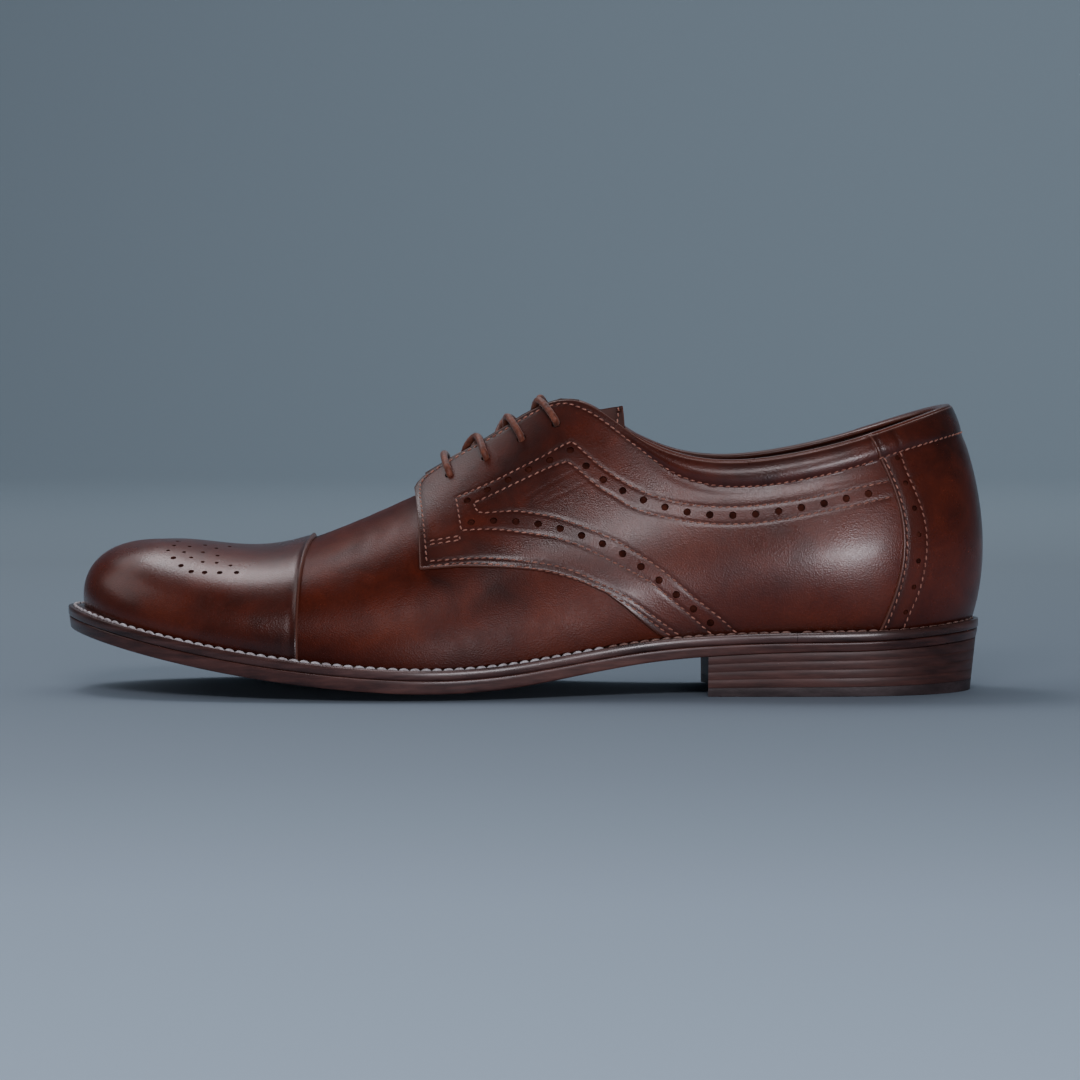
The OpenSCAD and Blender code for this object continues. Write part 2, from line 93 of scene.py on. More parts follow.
CAP_END = 4.3

WELT_EDGE = ([0, 2, 5, 7, 9, 11, 13, 15], [7.7, 7.1, 6.8, 6.6, 6, 5.6, 5.6, 5.9])
WELT_HEIGHT = 3.3
SOLE_DEPTH = ([0, 2, 5, 7, 9, 11.3, 15], [4.2, 4.4, 4.6, 4.6, 3.9, 3.3, 3.3])
HEEL_START = 9.85
HEEL_BREAST_BOW = 4.0
TOP_PIECE = 0.22
LIFTS = 4


# ---------------------------------------------------------------- the last's surface

def station(i):
    j = (i + 75) % 30 - 15
    s = STATIONS[abs(j)]
    side = 2 if j < 0 else 1
    return [s[0], s[side], s[3], s[4], s[4 + side], s[7], *s[8:13], (s[5] + s[6]) / 2]


ROWS = np.array([station(i) for i in range(-34, 35)])


def smooth(a, b, x):
    t = np.clip((np.asarray(x, float) - a) / (b - a), 0, 1)
    return t * t * (3 - 2 * t)


def spline(t, slope=False):
    """The row of station values at t, or its slope, from a uniform cubic B-spline."""
    t = np.asarray(t, float)
    k = np.floor(t).astype(int)
    f = t - k
    if slope:
        w = [-(1 - f) ** 2, 3 * f ** 2 - 4 * f, -3 * f ** 2 + 2 * f + 1, f ** 2]
        w = np.stack(w, -1) / 2
    else:
        w = [(1 - f) ** 3, 3 * f ** 3 - 6 * f ** 2 + 4, -3 * f ** 3 + 3 * f ** 2 + 3 * f + 1, f ** 3]
        w = np.stack(w, -1) / 6
    index = np.stack([k - 1, k, k + 1, k + 2], -1) + 34
    return np.einsum("...i,...ij->...j", w, ROWS[index])


def around(t):
    return (np.asarray(t) + 45) % 30 - 15


def outward(t):
    d = spline(t, True)
    n = np.hypot(d[..., 0], d[..., 1])
    return np.stack([d[..., 1] / n, -d[..., 0] / n, 0 * n], -1)


def feather(t):
    return spline(t)[..., :3]


def skin(t, v, kind):
    """Point of the last at station t and height v, from the feather line up to the top."""
    t, v = np.broadcast_arrays(np.asarray(t, float), np.asarray(v, float))
    r, d, n, a = spline(t), spline(t, True), outward(t), np.abs(around(t))
    split = smooth(6, 7, a) if kind == VAMP else float(kind == QUARTER)
    fade = smooth(0, 1.5, a) * (1 - smooth(6, 7.5, a))
    run = np.where(np.abs(d[..., 3]) < 1e-9, 1e-9, d[..., 3])
    grade = fade * np.clip(d[..., 5] / run, -2, 2)
    height = np.interp(a, *TONGUE_RIDGE) if kind == TONGUE else r[..., 5]
    out = np.minimum(18, r[..., 8]) if kind == TONGUE else r[..., 8]
    up = -8 if kind == TONGUE else r[..., 9]
    top = np.stack([r[..., 3], split * r[..., 4] + (1 - split) * r[..., 11], height], -1)
    base = r[..., :3]
    low = base + n * r[..., 6:7]
    low[..., 2] += r[..., 7]
    high = top + n * out[..., None]
    high[..., 2] += up + grade * out * n[..., 0]
    q = v[..., None]
    u = 1 - q
    p = base * u ** 3 + 3 * low * q * u * u + 3 * high * q * q * u + top * q ** 3
    if kind == QUARTER:
        p[..., 2] += r[..., 10] * np.clip((v - 0.4) / 0.6, 0, None) ** 2
    return p


def unit(x):
    return x / np.maximum(np.linalg.norm(x, axis=-1, keepdims=True), 1e-12)


def slant(t, v, kind, e=0.01):
    along = skin(t + e, v, kind) - skin(t - e, v, kind)
    up = skin(t, v + e, kind) - skin(t, np.maximum(0, v - e), kind)
    return unit(np.cross(along, up))


def facing_out(t, v, kind):
    t, v = np.broadcast_arrays(np.asarray(t, float), np.asarray(v, float))
    n = slant(t, v, kind)
    if kind != QUARTER:
        s = np.maximum(0.1, np.abs(t))
        middle = unit(slant(s, 0.999, kind) + slant(-s, 0.999, kind))
        n = np.where((v >= 0.999)[..., None], middle, n)
    return n


def leather_at(t, v, d, kind):
    p = skin(t, v, kind) + facing_out(t, v, kind) * np.asarray(d, float)[..., None]
    p[..., 2] = np.maximum(p[..., 2], spline(t)[..., 2])
    return p


# ---------------------------------------------------------------- lines on the surface

def curve(points, per_span=12):
    """Smooth line through points of any dimension."""
    p = np.asarray(points, float)
    q = np.vstack([2 * p[0] - p[1], p, 2 * p[-1] - p[-2]])
    u = np.linspace(0, 1, per_span, endpoint=False)[:, None]
    spans = []
    for a, b, c, d in zip(q, q[1:], q[2:], q[3:]):
        spans.append(0.5 * (2 * b + (c - a) * u + (2 * a - 5 * b + 4 * c - d) * u ** 2
                            + (3 * b - a - 3 * c + d) * u ** 3))
    return np.vstack([*spans, p[-1:]])


def travelled(p):
    """Distance from the start of a line of points to each of them."""
    return np.concatenate([[0], np.cumsum(np.linalg.norm(np.diff(p, axis=0), axis=1))])


def even(points, pitch, extra=None):
    """Points along a line at an even pitch, with any extra columns carried along."""
    p = np.asarray(points, float)
    s = travelled(p)
    at = np.linspace(0, s[-1], max(1, round(s[-1] / pitch)) + 1)
    both = p if extra is None else np.hstack([p, extra])
    return np.stack([np.interp(at, s, c) for c in both.T], -1)


def shifted(line, mm, depth=2.5):
    """A (t, v) line moved sideways over a quarter, to its left when mm is positive."""
    t, v = line.T
    e = 0.005

    def face(a, b):
        return leather_at(a, b, np.full(len(t), depth), QUARTER)

    pt = (face(t + e, v) - face(t - e, v)) / (2 * e)
    pv = (face(t, v + e) - face(t, v - e)) / (2 * e)
    step = np.gradient(line, axis=0)
    along = unit(pt * step[:, :1] + pv * step[:, 1:])
    side = np.cross(unit(np.cross(pt, pv)), along) * mm
    a, b, c = (pt * pt).sum(1), (pt * pv).sum(1), (pv * pv).sum(1)
    x, y = (side * pt).sum(1), (side * pv).sum(1)
    det = a * c - b * b
    return line + np.stack([(c * x - b * y) / det, (a * y - b * x) / det], -1)


def trimmed(line, t0=-99, t1=99, v0=0):
    """The part of a (t, v) line between two stations and above a height."""
    t, v = line.T
    return line[(t >= t0) & (t <= t1) & (v >= v0)]


# ---------------------------------------------------------------- meshes

def volume(points, quads, tris):
    faces = np.vstack([quads[:, :3], quads[:, [0, 2, 3]], tris])
    a, b, c = (points[faces[:, i]] for i in range(3))
    return np.einsum("ij,ij->", a, np.cross(b, c)) / 6


def make_mesh(name, points, quads, material, tris=(), shades=None, sharp=SHARP):
    """Mesh object from points in millimetres; points that no face uses are left out."""
    quads = np.asarray(quads, int).reshape(-1, 4)
    tris = np.asarray(tris, int).reshape(-1, 3)
    flat = (quads[:, 0] == quads[:, 1]) | (quads[:, 1] == quads[:, 2])
    flat |= (quads[:, 2] == quads[:, 3]) | (quads[:, 3] == quads[:, 0])
    for q in quads[flat]:
        corners = list(dict.fromkeys(q.tolist()))
        if len(corners) == 3:
            tris = np.vstack([tris, corners])
    quads = quads[~flat]
    points = np.asarray(points, float)
    if volume(points, quads, tris) < 0:
        quads, tris = quads[:, ::-1], tris[:, ::-1]
    used, back = np.unique(np.concatenate([quads.ravel(), tris.ravel()]), return_inverse=True)
    co = (points[used] + SHIFT) * MM
    mesh = bpy.data.meshes.new(name)
    mesh.vertices.add(len(co))
    mesh.vertices.foreach_set("co", co.ravel())
    mesh.loops.add(len(back))
    mesh.loops.foreach_set("vertex_index", back.astype(np.int32))
    sizes = np.array([4] * len(quads) + [3] * len(tris))
    mesh.polygons.add(len(sizes))
    starts = np.concatenate([[0], np.cumsum(sizes)[:-1]])
    mesh.polygons.foreach_set("loop_start", starts.astype(np.int32))
    mesh.polygons.foreach_set("use_smooth", np.ones(len(sizes), bool))
    mesh.update(calc_edges=True)
    for key, values in (shades or {}).items():
        layer = mesh.attributes.new(key, "FLOAT", "POINT")
        layer.data.foreach_set("value", np.asarray(values, float)[used].astype(np.float32))
    mesh.validate()
    if sharp:
        mesh.set_sharp_from_angle(angle=math.radians(sharp))
    mesh.materials.append(material)
    piece = bpy.data.objects.new(name, mesh)
    bpy.context.scene.collection.objects.link(piece)
    return piece


def grid_faces(n, m, same=None):
    """Quads of an n by m grid, with same giving the index that stands for each point."""
    index = np.arange(n * m).reshape(n, m)
    if same is not None:
        index = same(index)
    a, b, c, d = index[:-1, :-1], index[:-1, 1:], index[1:, 1:], index[1:, :-1]
    return np.stack([a, b, c, d], -1).reshape(-1, 4)


def closed_shell(name, grids, material, same=None, keep=None, shades=None):
    """Closed shell between the first grid, outside, and the last; rims pass the grids between."""
    n, m = grids[0].shape[:2]
    k = n * m
    outer = grid_faces(n, m, same)
    if keep is not None:
        outer = outer[keep.ravel()]
    faces = [outer, outer[:, ::-1] + (len(grids) - 1) * k]
    edges = np.vstack([outer[:, [i, (i + 1) % 4]] for i in range(4)])
    edges = edges[edges[:, 0] != edges[:, 1]]
    there = set(map(tuple, edges.tolist()))
    rim = np.array([e for e in there if (e[1], e[0]) not in there])
    rim = rim[np.lexsort(rim.T)]
    for g in range(len(grids) - 1):
        a, b = rim[:, 0] + g * k, rim[:, 1] + g * k
        faces.append(np.stack([b, a, a + k, b + k], -1))
    points = np.vstack([g.reshape(-1, 3) for g in grids])
    if shades:
        shades = {key: np.tile(np.asarray(s).ravel(), len(grids)) for key, s in shades.items()}
    return make_mesh(name, points, np.vstack(faces), material, shades=shades)


# Distances in millimetres of the close rows that make an edge round.
RIM_ROWS = np.array([0, 0.07, 0.17, 0.32, 0.55])


def spaced(a, b, step, size, rims=(True, True)):
    """Values from a to b, size long in millimetres, a step apart and closer at the rims."""
    close = RIM_ROWS / size * (b - a)
    lo = close if rims[0] else close[:1]
    hi = close if rims[1] else close[:1]
    n = max(2, round(size / step))
    inner = np.linspace(a, b, n + 1)[1:-1]
    gap = abs(b - a) / size * 0.75
    inner = inner[(np.abs(inner - a) > gap) & (np.abs(inner - b) > gap)]
    return np.concatenate([a + lo, inner, (b - hi)[::-1]])


def rounded(x):
    """How far the face drops where it is x away from a cut edge."""
    r = CUT_EDGE_RADIUS
    x = np.clip(x, 0, r)
    return r - np.sqrt(np.maximum(0, r * r - (r - x) ** 2))


def run_length(p, axis):
    """Distance along a grid from its first line and back from its last one."""
    gaps = np.linalg.norm(np.diff(p, axis=axis), axis=-1)
    s = np.cumsum(gaps, axis=axis)
    s = np.concatenate([np.zeros_like(np.take(s, [0], axis)), s], axis)
    return s, np.take(s, [-1], axis) - s


def near(points, lines):
    """Distance of each point from the nearest of some lines, up to FAR."""
    spots = np.vstack([even(l, 0.35) for l in lines])
    tree = KDTree(len(spots))
    for i, s in enumerate(spots):
        tree.insert(s, i)
    tree.balance()
    flat = points.reshape(-1, 3)
    found = np.array([tree.find(p)[2] for p in flat])
    return np.minimum(found, FAR).reshape(points.shape[:-1])


def ruled(ts, fs, low, high):
    """Grid with a row at each station, from low to high up the section."""
    v = low[:, None] + (high - low)[:, None] * fs[None, :]
    return np.broadcast_to(ts[:, None], v.shape), v


def waisted(t, v, waist):
    """Stations drawn in towards the back of the heel, most at half height."""
    return 15 + (t - 15) * (1 - waist * np.sin(np.pi * v))


def side_grid(t0, t1, low, high, step, waist=0):
    """Rows from station t0 to t1, columns from low to high up the side."""
    middle = (t0 + t1) / 2
    foot, head = (f(abs(around(middle))) for f in (low, high))
    ts = spaced(t0, t1, step, length(np.linspace(t0, t1, 60), (foot + head) / 2))
    fs = spaced(0, 1, step, length(middle, np.linspace(foot, head, 30)))
    t, v = ruled(ts, fs, *(f(np.abs(around(ts))) for f in (low, high)))
    return waisted(t, v, waist) if waist else t, v, None, None


def saddle(ts, fs, low, high, closed_toe=False):
    """Rows over the ridge, from the outer side to the inner; open along the ridge where high < 1."""
    t, v = ruled(ts, fs, low(ts), high(ts))
    t, v = np.hstack([t, -t]), np.hstack([v, v[:, ::-1]])
    half = len(fs)
    joined = high(ts) > 0.999

    def same(index):
        index = index.copy()
        index[joined, half] = index[joined, half - 1]
        if closed_toe:
            index[0, half:] = index[0, half - 1::-1]
        return index

    keep = np.ones((len(ts) - 1, 2 * half - 1), bool)
    keep[:, half - 1] = joined[:-1] & joined[1:]
    return t, v, same, keep


def saddle_grid(t0, t1, low, high, step, kind):
    """A saddle with rows and columns about a step apart."""
    middle = (t0 + t1) / 2
    ts = spaced(t0, t1, step, length(np.linspace(t0, t1, 60), 0.5, kind))
    fs = spaced(0, 1, step, length(middle, np.linspace(low(middle), 1, 30), kind), (True, False))
    return saddle(ts, fs, low, high)


def cap_grid(t1, step):
    """Rows round the toe from the inner side to the outer, joined along the ridge."""
    ts = spaced(0, t1, step, length(np.linspace(0, t1, 60), 0.5), (False, True))
    ts = np.concatenate([-ts[:0:-1], ts])
    fs = spaced(0, 1, step, length(t1 / 2, np.linspace(0, 1, 30)), (True, False))
    t, v = np.meshgrid(ts, fs, indexing="ij")

    def same(index):
        index = index.copy()
        half = len(index) // 2
        index[:half, -1] = index[:half:-1, -1]
        return index

    return t, v, same, None


def length(t, v, kind=QUARTER):
    p = skin(t, v, kind)
    return np.linalg.norm(np.diff(p, axis=0), axis=1).sum()


def panel(name, grid, layer, kind, material, relief=None, seams=(), creases=(), rims="tbvw"):
    """One piece of upper. rims says which edges are rounded: t, b along it and v, w up it."""
    t, v, same, keep = grid
    base, normal = skin(t, v, kind), facing_out(t, v, kind)
    face = base + normal * layer[1]
    distances = [*run_length(face, 0), *run_length(face, 1)]
    drop = np.zeros(v.shape)
    edge = np.full(v.shape, FAR)
    for letter, distance in zip("tbvw", distances):
        if letter in rims:
            drop = np.maximum(drop, rounded(distance))
            edge = np.minimum(edge, distance)
    lift = relief(t, v) if relief else np.zeros(v.shape)
    seam = np.full(v.shape, FAR)
    if seams:
        seam = near(face, [on_leather(s, kind, layer[1])[0] for s in seams])
        lift = lift - SEAM_GROOVE * np.exp(-(seam / 0.6) ** 2)
    if creases:
        fold = near(face, [on_leather(curve(c), kind, layer[1])[0] for c in creases])
        lift = lift - 0.05 * np.exp(-(fold / 0.4) ** 2) + 0.02 * np.exp(-((fold - 1.3) / 0.8) ** 2)
    floor = spline(t)[..., 2]
    outer = base + normal * (layer[1] + lift - drop)[..., None]
    inner = base + normal * layer[0]
    outer[..., 2] = np.maximum(outer[..., 2], floor)
    inner[..., 2] = np.maximum(inner[..., 2], floor)
    # Burnish and painted shade: darker within a few mm of cut edges (burnish), and along seam grooves and low
    # down toward the welt (painted shade).
    shade = 0.7 * np.exp(-edge / 2.4) + 0.4 * np.exp(-(seam / 1.4) ** 2)
    shade = np.clip(shade + 0.6 * np.exp(-(face[..., 2] - floor) / 6), 0, 1)
    # Lighter rim at the cut edges: partly rubbed raw-edge colour, partly a painted highlight on the rounded
    # rim.
    edge_wear_and_highlight = np.exp(-(edge / 0.4) ** 2)
    return closed_shell(name, [outer, inner], material, same, keep, {"shade": shade, "edge_wear_and_highlight": edge_wear_and_highlight})


def on_leather(line, kind=QUARTER, depth=QUARTER_LAYER[1]):
    """Points and normals of a (t, v) line on the face of a layer."""
    line = np.asarray(line, float)
    t, v = line[:, 0], line[:, 1]
    return leather_at(t, v, np.full(len(t), float(depth)), kind), facing_out(t, v, kind)


def table(pair):
    return lambda t: np.interp(t, *pair)


def always(x):
    return lambda t: np.full(np.shape(t), float(x))


def holes_along(lines, depth, pitch):
    """Centres and normals of holes at an even pitch along each line."""
    rows = []
    for l in lines:
        p, n = on_leather(l, depth=depth)
        rows.append(even(p, pitch, n))
    rows = np.vstack(rows)
    return rows[:, :3], unit(rows[:, 3:])


def punched(piece, centres, normals, radii, depth):
    """Blind round holes in a piece, with dark walls and floors."""
    sides, above, flare, taper = 20, 1.2, 1.12, 0.86
    points, quads, tris = [], [], []
    for c, n, r in zip(centres, normals, np.broadcast_to(radii, len(centres))):
        x = unit(np.cross([0.3, 1, 0.1], n))
        ring = circle(x, np.cross(n, x), sides)
        start = len(points)
        points += [c + n * above, c - n * depth]
        points += list(c + n * above + ring * r * flare) + list(c - n * depth + ring * r * taper)
        for i in range(sides):
            j = (i + 1) % sides
            a, b = start + 2 + i, start + 2 + j
            quads.append([a, a + sides, b + sides, b])
            tris += [[start, a, b], [start + 1, b + sides, a + sides]]
    cutter = make_mesh(piece.name + "_cutter", points, quads, HOLE, tris, sharp=0)
    cut = piece.modifiers.new("holes", "BOOLEAN")
    cut.operation = "DIFFERENCE"
    cut.solver = "MANIFOLD"
    cut.object = cutter
    cut.material_mode = "TRANSFER"
    freeze(piece)
    bpy.data.objects.remove(cutter)
    piece.data.set_sharp_from_angle(angle=math.radians(SHARP))


def freeze(piece):
    """Puts the result of a piece's modifiers in its mesh."""
    graph = bpy.context.evaluated_depsgraph_get()
    mesh = bpy.data.meshes.new_from_object(piece.evaluated_get(graph))
    piece.modifiers.clear()
    piece.data = mesh


def circle(x, y, sides):
    """Points of the unit circle in the plane of x and y."""
    angle = np.arange(sides) * 2 * np.pi / sides
    return np.cos(angle)[:, None] * x + np.sin(angle)[:, None] * y


def tube_quads(index):
    """Quads between rings of points, one ring in each row of index."""
    here, ahead = index[:-1], index[1:]
    return np.stack([here, ahead, np.roll(ahead, -1, 1), np.roll(here, -1, 1)], -1).reshape(-1, 4)


def swept(name, rings, material, shades=None):
    """Tube or bar through rings of points, closed at both ends."""
    n, m = rings.shape[:2]
    index = np.arange(n * m).reshape(n, m)
    points = np.vstack([rings.reshape(-1, 3), rings[0].mean(0), rings[-1].mean(0)])
    tris = []
    for i in range(m):
        j = (i + 1) % m
        tris.append([n * m, index[0, i], index[0, j]])
        tris.append([n * m + 1, index[-1, j], index[-1, i]])
    return make_mesh(name, points, tube_quads(index), material, tris, shades)


def stitches(name, paths, material, pitch=2.4, width=0.27, proud=0.05, lean=0.16, fill=0.8):
    """Thread showing along paths of points and normals: one short, slanting stitch per pitch."""
    sides, steps = 6, 6
    s = np.linspace(0, 1, steps)
    swell = width * np.sqrt(np.clip(1 - (2 * s - 1) ** 4, 0.12, 1))
    hump = proud - width * (2 * s - 1) ** 2
    points, quads, tris, count = [], [], [], 0
    for path, normals in paths:
        q = even(path, pitch, normals)
        for a, b in zip(q, q[1:]):
            n = unit(a[3:] + b[3:])
            along = (b[:3] - a[:3]) * fill
            side = unit(np.cross(n, along))
            along = along + side * lean * np.linalg.norm(along)
            centre = (a[:3] + b[:3]) / 2 + np.outer(s - 0.5, along) + np.outer(hump, n)
            ring = circle(side, n, sides)
            points.append((centre[:, None] + ring[None] * swell[:, None, None]).reshape(-1, 3))
            index = np.arange(steps * sides).reshape(steps, sides) + count
            quads.append(tube_quads(index))
            for i in range(1, sides - 1):
                tris += [[index[0, 0], index[0, i], index[0, i + 1]],
                         [index[-1, 0], index[-1, i + 1], index[-1, i]]]
            count += steps * sides
    return make_mesh(name, np.vstack(points), np.vstack(quads), material, tris, sharp=0)


# ---------------------------------------------------------------- materials

def rgb(r, g, b):
    """Linear colour from screen values of 0 to 255."""
    return [((c / 255 + 0.055) / 1.055) ** 2.4 if c > 10 else c / 3295 for c in (r, g, b)] + [1]


class Look:
    """A procedural material; its methods add nodes and give back their output sockets."""

    def __init__(self, name, roughness=0.5, **settings):
        self.material = bpy.data.materials.new(name)
        self.material.use_nodes = True
        self.nodes = self.material.node_tree.nodes
        self.links = self.material.node_tree.links
        self.shader = self.nodes["Principled BSDF"]
        self.shader.inputs["Roughness"].default_value = roughness
        for key, value in settings.items():
            self.shader.inputs[key.replace("_", " ")].default_value = value
        self.place = self.nodes.new("ShaderNodeTexCoord").outputs["Object"]

    def add(self, kind, inputs=(), **settings):
        node = self.nodes.new("ShaderNode" + kind)
        for key, value in settings.items():
            setattr(node, key, value)
        for key, value in dict(inputs).items():
            if isinstance(value, bpy.types.NodeSocket):
                self.links.new(value, node.inputs[key])
            else:
                node.inputs[key].default_value = value
        return node

    def stretched(self, x=1, y=1, z=1):
        return self.add("Mapping", {"Vector": self.place, "Scale": (x, y, z)}).outputs[0]

    def noise(self, scale, detail=3, rough=0.55, place=None, distort=0):
        return self.add("TexNoise", {"Vector": place or self.place, "Scale": scale, "Detail": detail,
                                     "Roughness": rough, "Distortion": distort}).outputs[0]

    def cells(self, scale, place):
        return self.add("TexVoronoi", {"Vector": place, "Scale": scale}).outputs["Distance"]

    def waves(self, scale, place):
        return self.add("TexWave", {"Vector": place, "Scale": scale, "Distortion": 1.0, "Detail": 3,
                                    "Detail Scale": 3}, bands_direction="DIAGONAL").outputs["Fac"]

    def attribute(self, name):
        return self.add("Attribute", attribute_name=name).outputs["Fac"]

    def maths(self, kind, a, b):
        return self.add("Math", {0: a, 1: b}, operation=kind).outputs[0]

    def span(self, value, low, high, to_low=0.0, to_high=1.0):
        return self.add("MapRange", {"Value": value, "From Min": low, "From Max": high,
                                     "To Min": to_low, "To Max": to_high}).outputs[0]

    def mix(self, share, a, b):
        return self.add("Mix", {0: share, 6: a, 7: b}, data_type="RGBA").outputs[2]

    def ramp(self, value, *stops):
        node = self.add("ValToRGB", {"Fac": value})
        steps = node.color_ramp.elements
        while len(steps) < len(stops):
            steps.new(0.5)
        for step, (at, colour) in zip(steps, stops):
            step.position = at
            step.color = colour
        return node.outputs["Color"]

    def bump(self, height, depth_mm, strength, normal=None):
        inputs = {"Height": height, "Distance": depth_mm * MM, "Strength": strength}
        if normal:
            inputs["Normal"] = normal
        return self.add("Bump", inputs).outputs[0]

    def finish(self, colour=None, roughness=None, normal=None):
        for key, value in (("Base Color", colour), ("Roughness", roughness), ("Normal", normal)):
            if value is not None:
                self.links.new(value, self.shader.inputs[key])
        return self.material


# Colour for the burnish and painted shade by edges, seams and the welt.
DARKEST = rgb(26, 9, 7)


def leather_look(name, dark, mid, light, worn_edge_and_highlight, rough=(0.24, 0.36), grain=1.0, coat=0.3, gloss=0.5):
    """Polished calf: mottled burnish; darker by edges and seams and low down by the welt (burnish and painted
    shade); raw edges lighter (rubbed raw colour and a painted highlight); a fine grain.
    """
    look = Look(name, Coat_Weight=coat, Coat_Roughness=0.2, Specular_IOR_Level=gloss)
    cloud = look.noise(16, 4, 0.6)
    patch = look.noise(70, 4, 0.6, distort=0.6)
    tone = look.maths("ADD", look.maths("MULTIPLY", cloud, 0.68), look.maths("MULTIPLY", patch, 0.32))
    colour = look.ramp(tone, (0.36, dark), (0.5, mid), (0.66, light))
    speck = look.span(look.noise(1100, 2), 0.35, 0.75, 0, 0.3)
    colour = look.mix(speck, colour, dark)
    # Blends toward DARKEST by the shade attribute: burnish at the edges, painted shade along the seams and
    # toward the welt.
    burnish_and_shade = look.maths("MULTIPLY", look.attribute("shade"), look.span(patch, 0.3, 0.6, 0.55, 1.0))
    colour = look.mix(look.maths("MULTIPLY", burnish_and_shade, 0.85), colour, DARKEST)
    # Lightens the cut edges: rubbed raw colour and a painted highlight.
    colour = look.mix(look.maths("MULTIPLY", look.attribute("edge_wear_and_highlight"), 0.55), colour, worn_edge_and_highlight)
    rough_map = look.span(look.noise(55, 4, 0.65), 0.32, 0.68, *rough)
    pebble = look.cells(1900, look.stretched(1, 1, 1.15))
    pores = look.noise(2600, 2)
    creased = look.noise(210, 5, 0.7, distort=1.2)
    normal = look.bump(creased, 0.02, 0.25 * grain)
    normal = look.bump(pebble, 0.05, 0.85 * grain, normal)
    normal = look.bump(pores, 0.03, 0.5 * grain, normal)
    return look.finish(colour, rough_map, normal)


def thread_look(name, pale, dark, twist=900, rough=0.6):
    """Twisted thread or cord with a little fuzz."""
    look = Look(name, rough, Sheen_Weight=0.2)
    fuzz = look.noise(500, 3)
    strands = look.waves(twist, look.stretched(1, 0.4, 1))
    colour = look.mix(look.span(fuzz, 0.35, 0.65), dark, pale)
    colour = look.mix(look.maths("MULTIPLY", strands, 0.35), colour, dark)
    rough_map = look.span(fuzz, 0.3, 0.7, rough - 0.1, rough + 0.1)
    return look.finish(colour, rough_map, look.bump(strands, 0.06, 0.6))


def stacked_look(name, dark, mid, light, rough=(0.25, 0.5), lines=260, coat=0.3, streaks=0.4):
    """Edge of sole leather: fibres lie flat, with thin pale and dark lines between the layers."""
    look = Look(name, Coat_Weight=coat, Coat_Roughness=0.25)
    flat = look.stretched(1, 1, 9)
    fibre = look.noise(75, 5, 0.65, flat)
    cloud = look.noise(28, 3, 0.55, look.stretched(1, 1, 2.5))
    fine = look.noise(700, 3, 0.6, look.stretched(0.35, 0.35, 3))
    tone = look.maths("ADD", look.maths("MULTIPLY", fibre, 0.5), look.maths("MULTIPLY", cloud, 0.5))
    colour = look.ramp(tone, (0.38, dark), (0.5, mid), (0.64, light))
    colour = look.mix(look.span(fine, 0.5, 0.75, 0, 0.5), colour, dark)
    streak = look.span(look.noise(lines, 2, 0.5, look.stretched(0.05, 0.05, 1)), 0.58, 0.66, 0, streaks)
    colour = look.mix(streak, colour, light)
    normal = look.bump(fibre, 0.05, 0.25)
    normal = look.bump(fine, 0.05, 0.5, normal)
    return look.finish(colour, look.span(cloud, 0.3, 0.7, *rough), normal)


def plain_look(name, colours, scale, rough, bump_mm=0.05, grain_scale=900, stretch=(1, 1, 1), **settings):
    """Mottled surface with a fine grain, for the inner pieces."""
    look = Look(name, **settings)
    place = look.stretched(*stretch)
    cloud = look.noise(scale, 4, 0.6, place)
    grain = look.noise(grain_scale, 3, 0.6, place)
    colour = look.ramp(cloud, *zip((0.35, 0.5, 0.66), colours))
    colour = look.mix(look.span(grain, 0.45, 0.75, 0, 0.35), colour, colours[0])
    return look.finish(colour, look.span(grain, 0.3, 0.7, *rough), look.bump(grain, bump_mm, 0.7))


# Dark, mid and light tones, then the lighter raw-edge colour, which also paints a highlight on the rims.
BURNISHED = rgb(57, 19, 11), rgb(97, 36, 20), rgb(125, 51, 27), rgb(156, 104, 88)
CALF = leather_look("calf", *BURNISHED)
FLEXED_CALF = leather_look("flexed_calf", *BURNISHED, (0.3, 0.42), coat=0.0, gloss=0.2)
TONGUE_CALF = leather_look("tongue_calf", rgb(54, 22, 15), rgb(80, 36, 25), rgb(102, 50, 36),
                           rgb(160, 104, 88), (0.5, 0.65), coat=0.0)
LINING = leather_look("lining_calf", rgb(54, 29, 21), rgb(76, 43, 32), rgb(94, 57, 43),
                      rgb(140, 98, 78), (0.5, 0.65), 0.7, 0.0)
HOLE = plain_look("hole_wall", (rgb(50, 22, 16), rgb(72, 34, 25), rgb(92, 47, 36)), 300, (0.85, 0.95),
                  Specular_IOR_Level=0.1)
THREAD = thread_look("upper_thread", rgb(206, 146, 126), rgb(134, 78, 62))
WHITE_THREAD = thread_look("welt_thread", rgb(238, 240, 246), rgb(176, 168, 170), 600)
BROWN_THREAD = thread_look("rand_thread", rgb(176, 140, 128), rgb(92, 64, 56), 600)
WELT = stacked_look("welt_edge", rgb(46, 28, 25), rgb(74, 46, 42), rgb(104, 70, 65), (0.2, 0.36), 300,
                    0.4)
OUTSOLE = stacked_look("outsole_edge", rgb(52, 29, 27), rgb(84, 50, 44), rgb(110, 70, 62), streaks=0.2)
HEEL = stacked_look("heel_stack", rgb(54, 31, 28), rgb(78, 46, 41), rgb(98, 62, 56), (0.4, 0.6),
                    coat=0.1, streaks=0.1)
RUBBER = plain_look("heel_rubber", (rgb(42, 32, 34), rgb(60, 48, 50), rgb(78, 66, 68)), 60, (0.45, 0.65),
                    stretch=(1, 1, 4))
LACE = thread_look("waxed_cotton", rgb(150, 84, 58), rgb(98, 50, 34), 1400, 0.42)
AGLET = plain_look("aglet_film", (rgb(70, 36, 24), rgb(92, 50, 34), rgb(104, 60, 42)), 90,
                   (0.15, 0.3), 0.02, Coat_Weight=0.5)
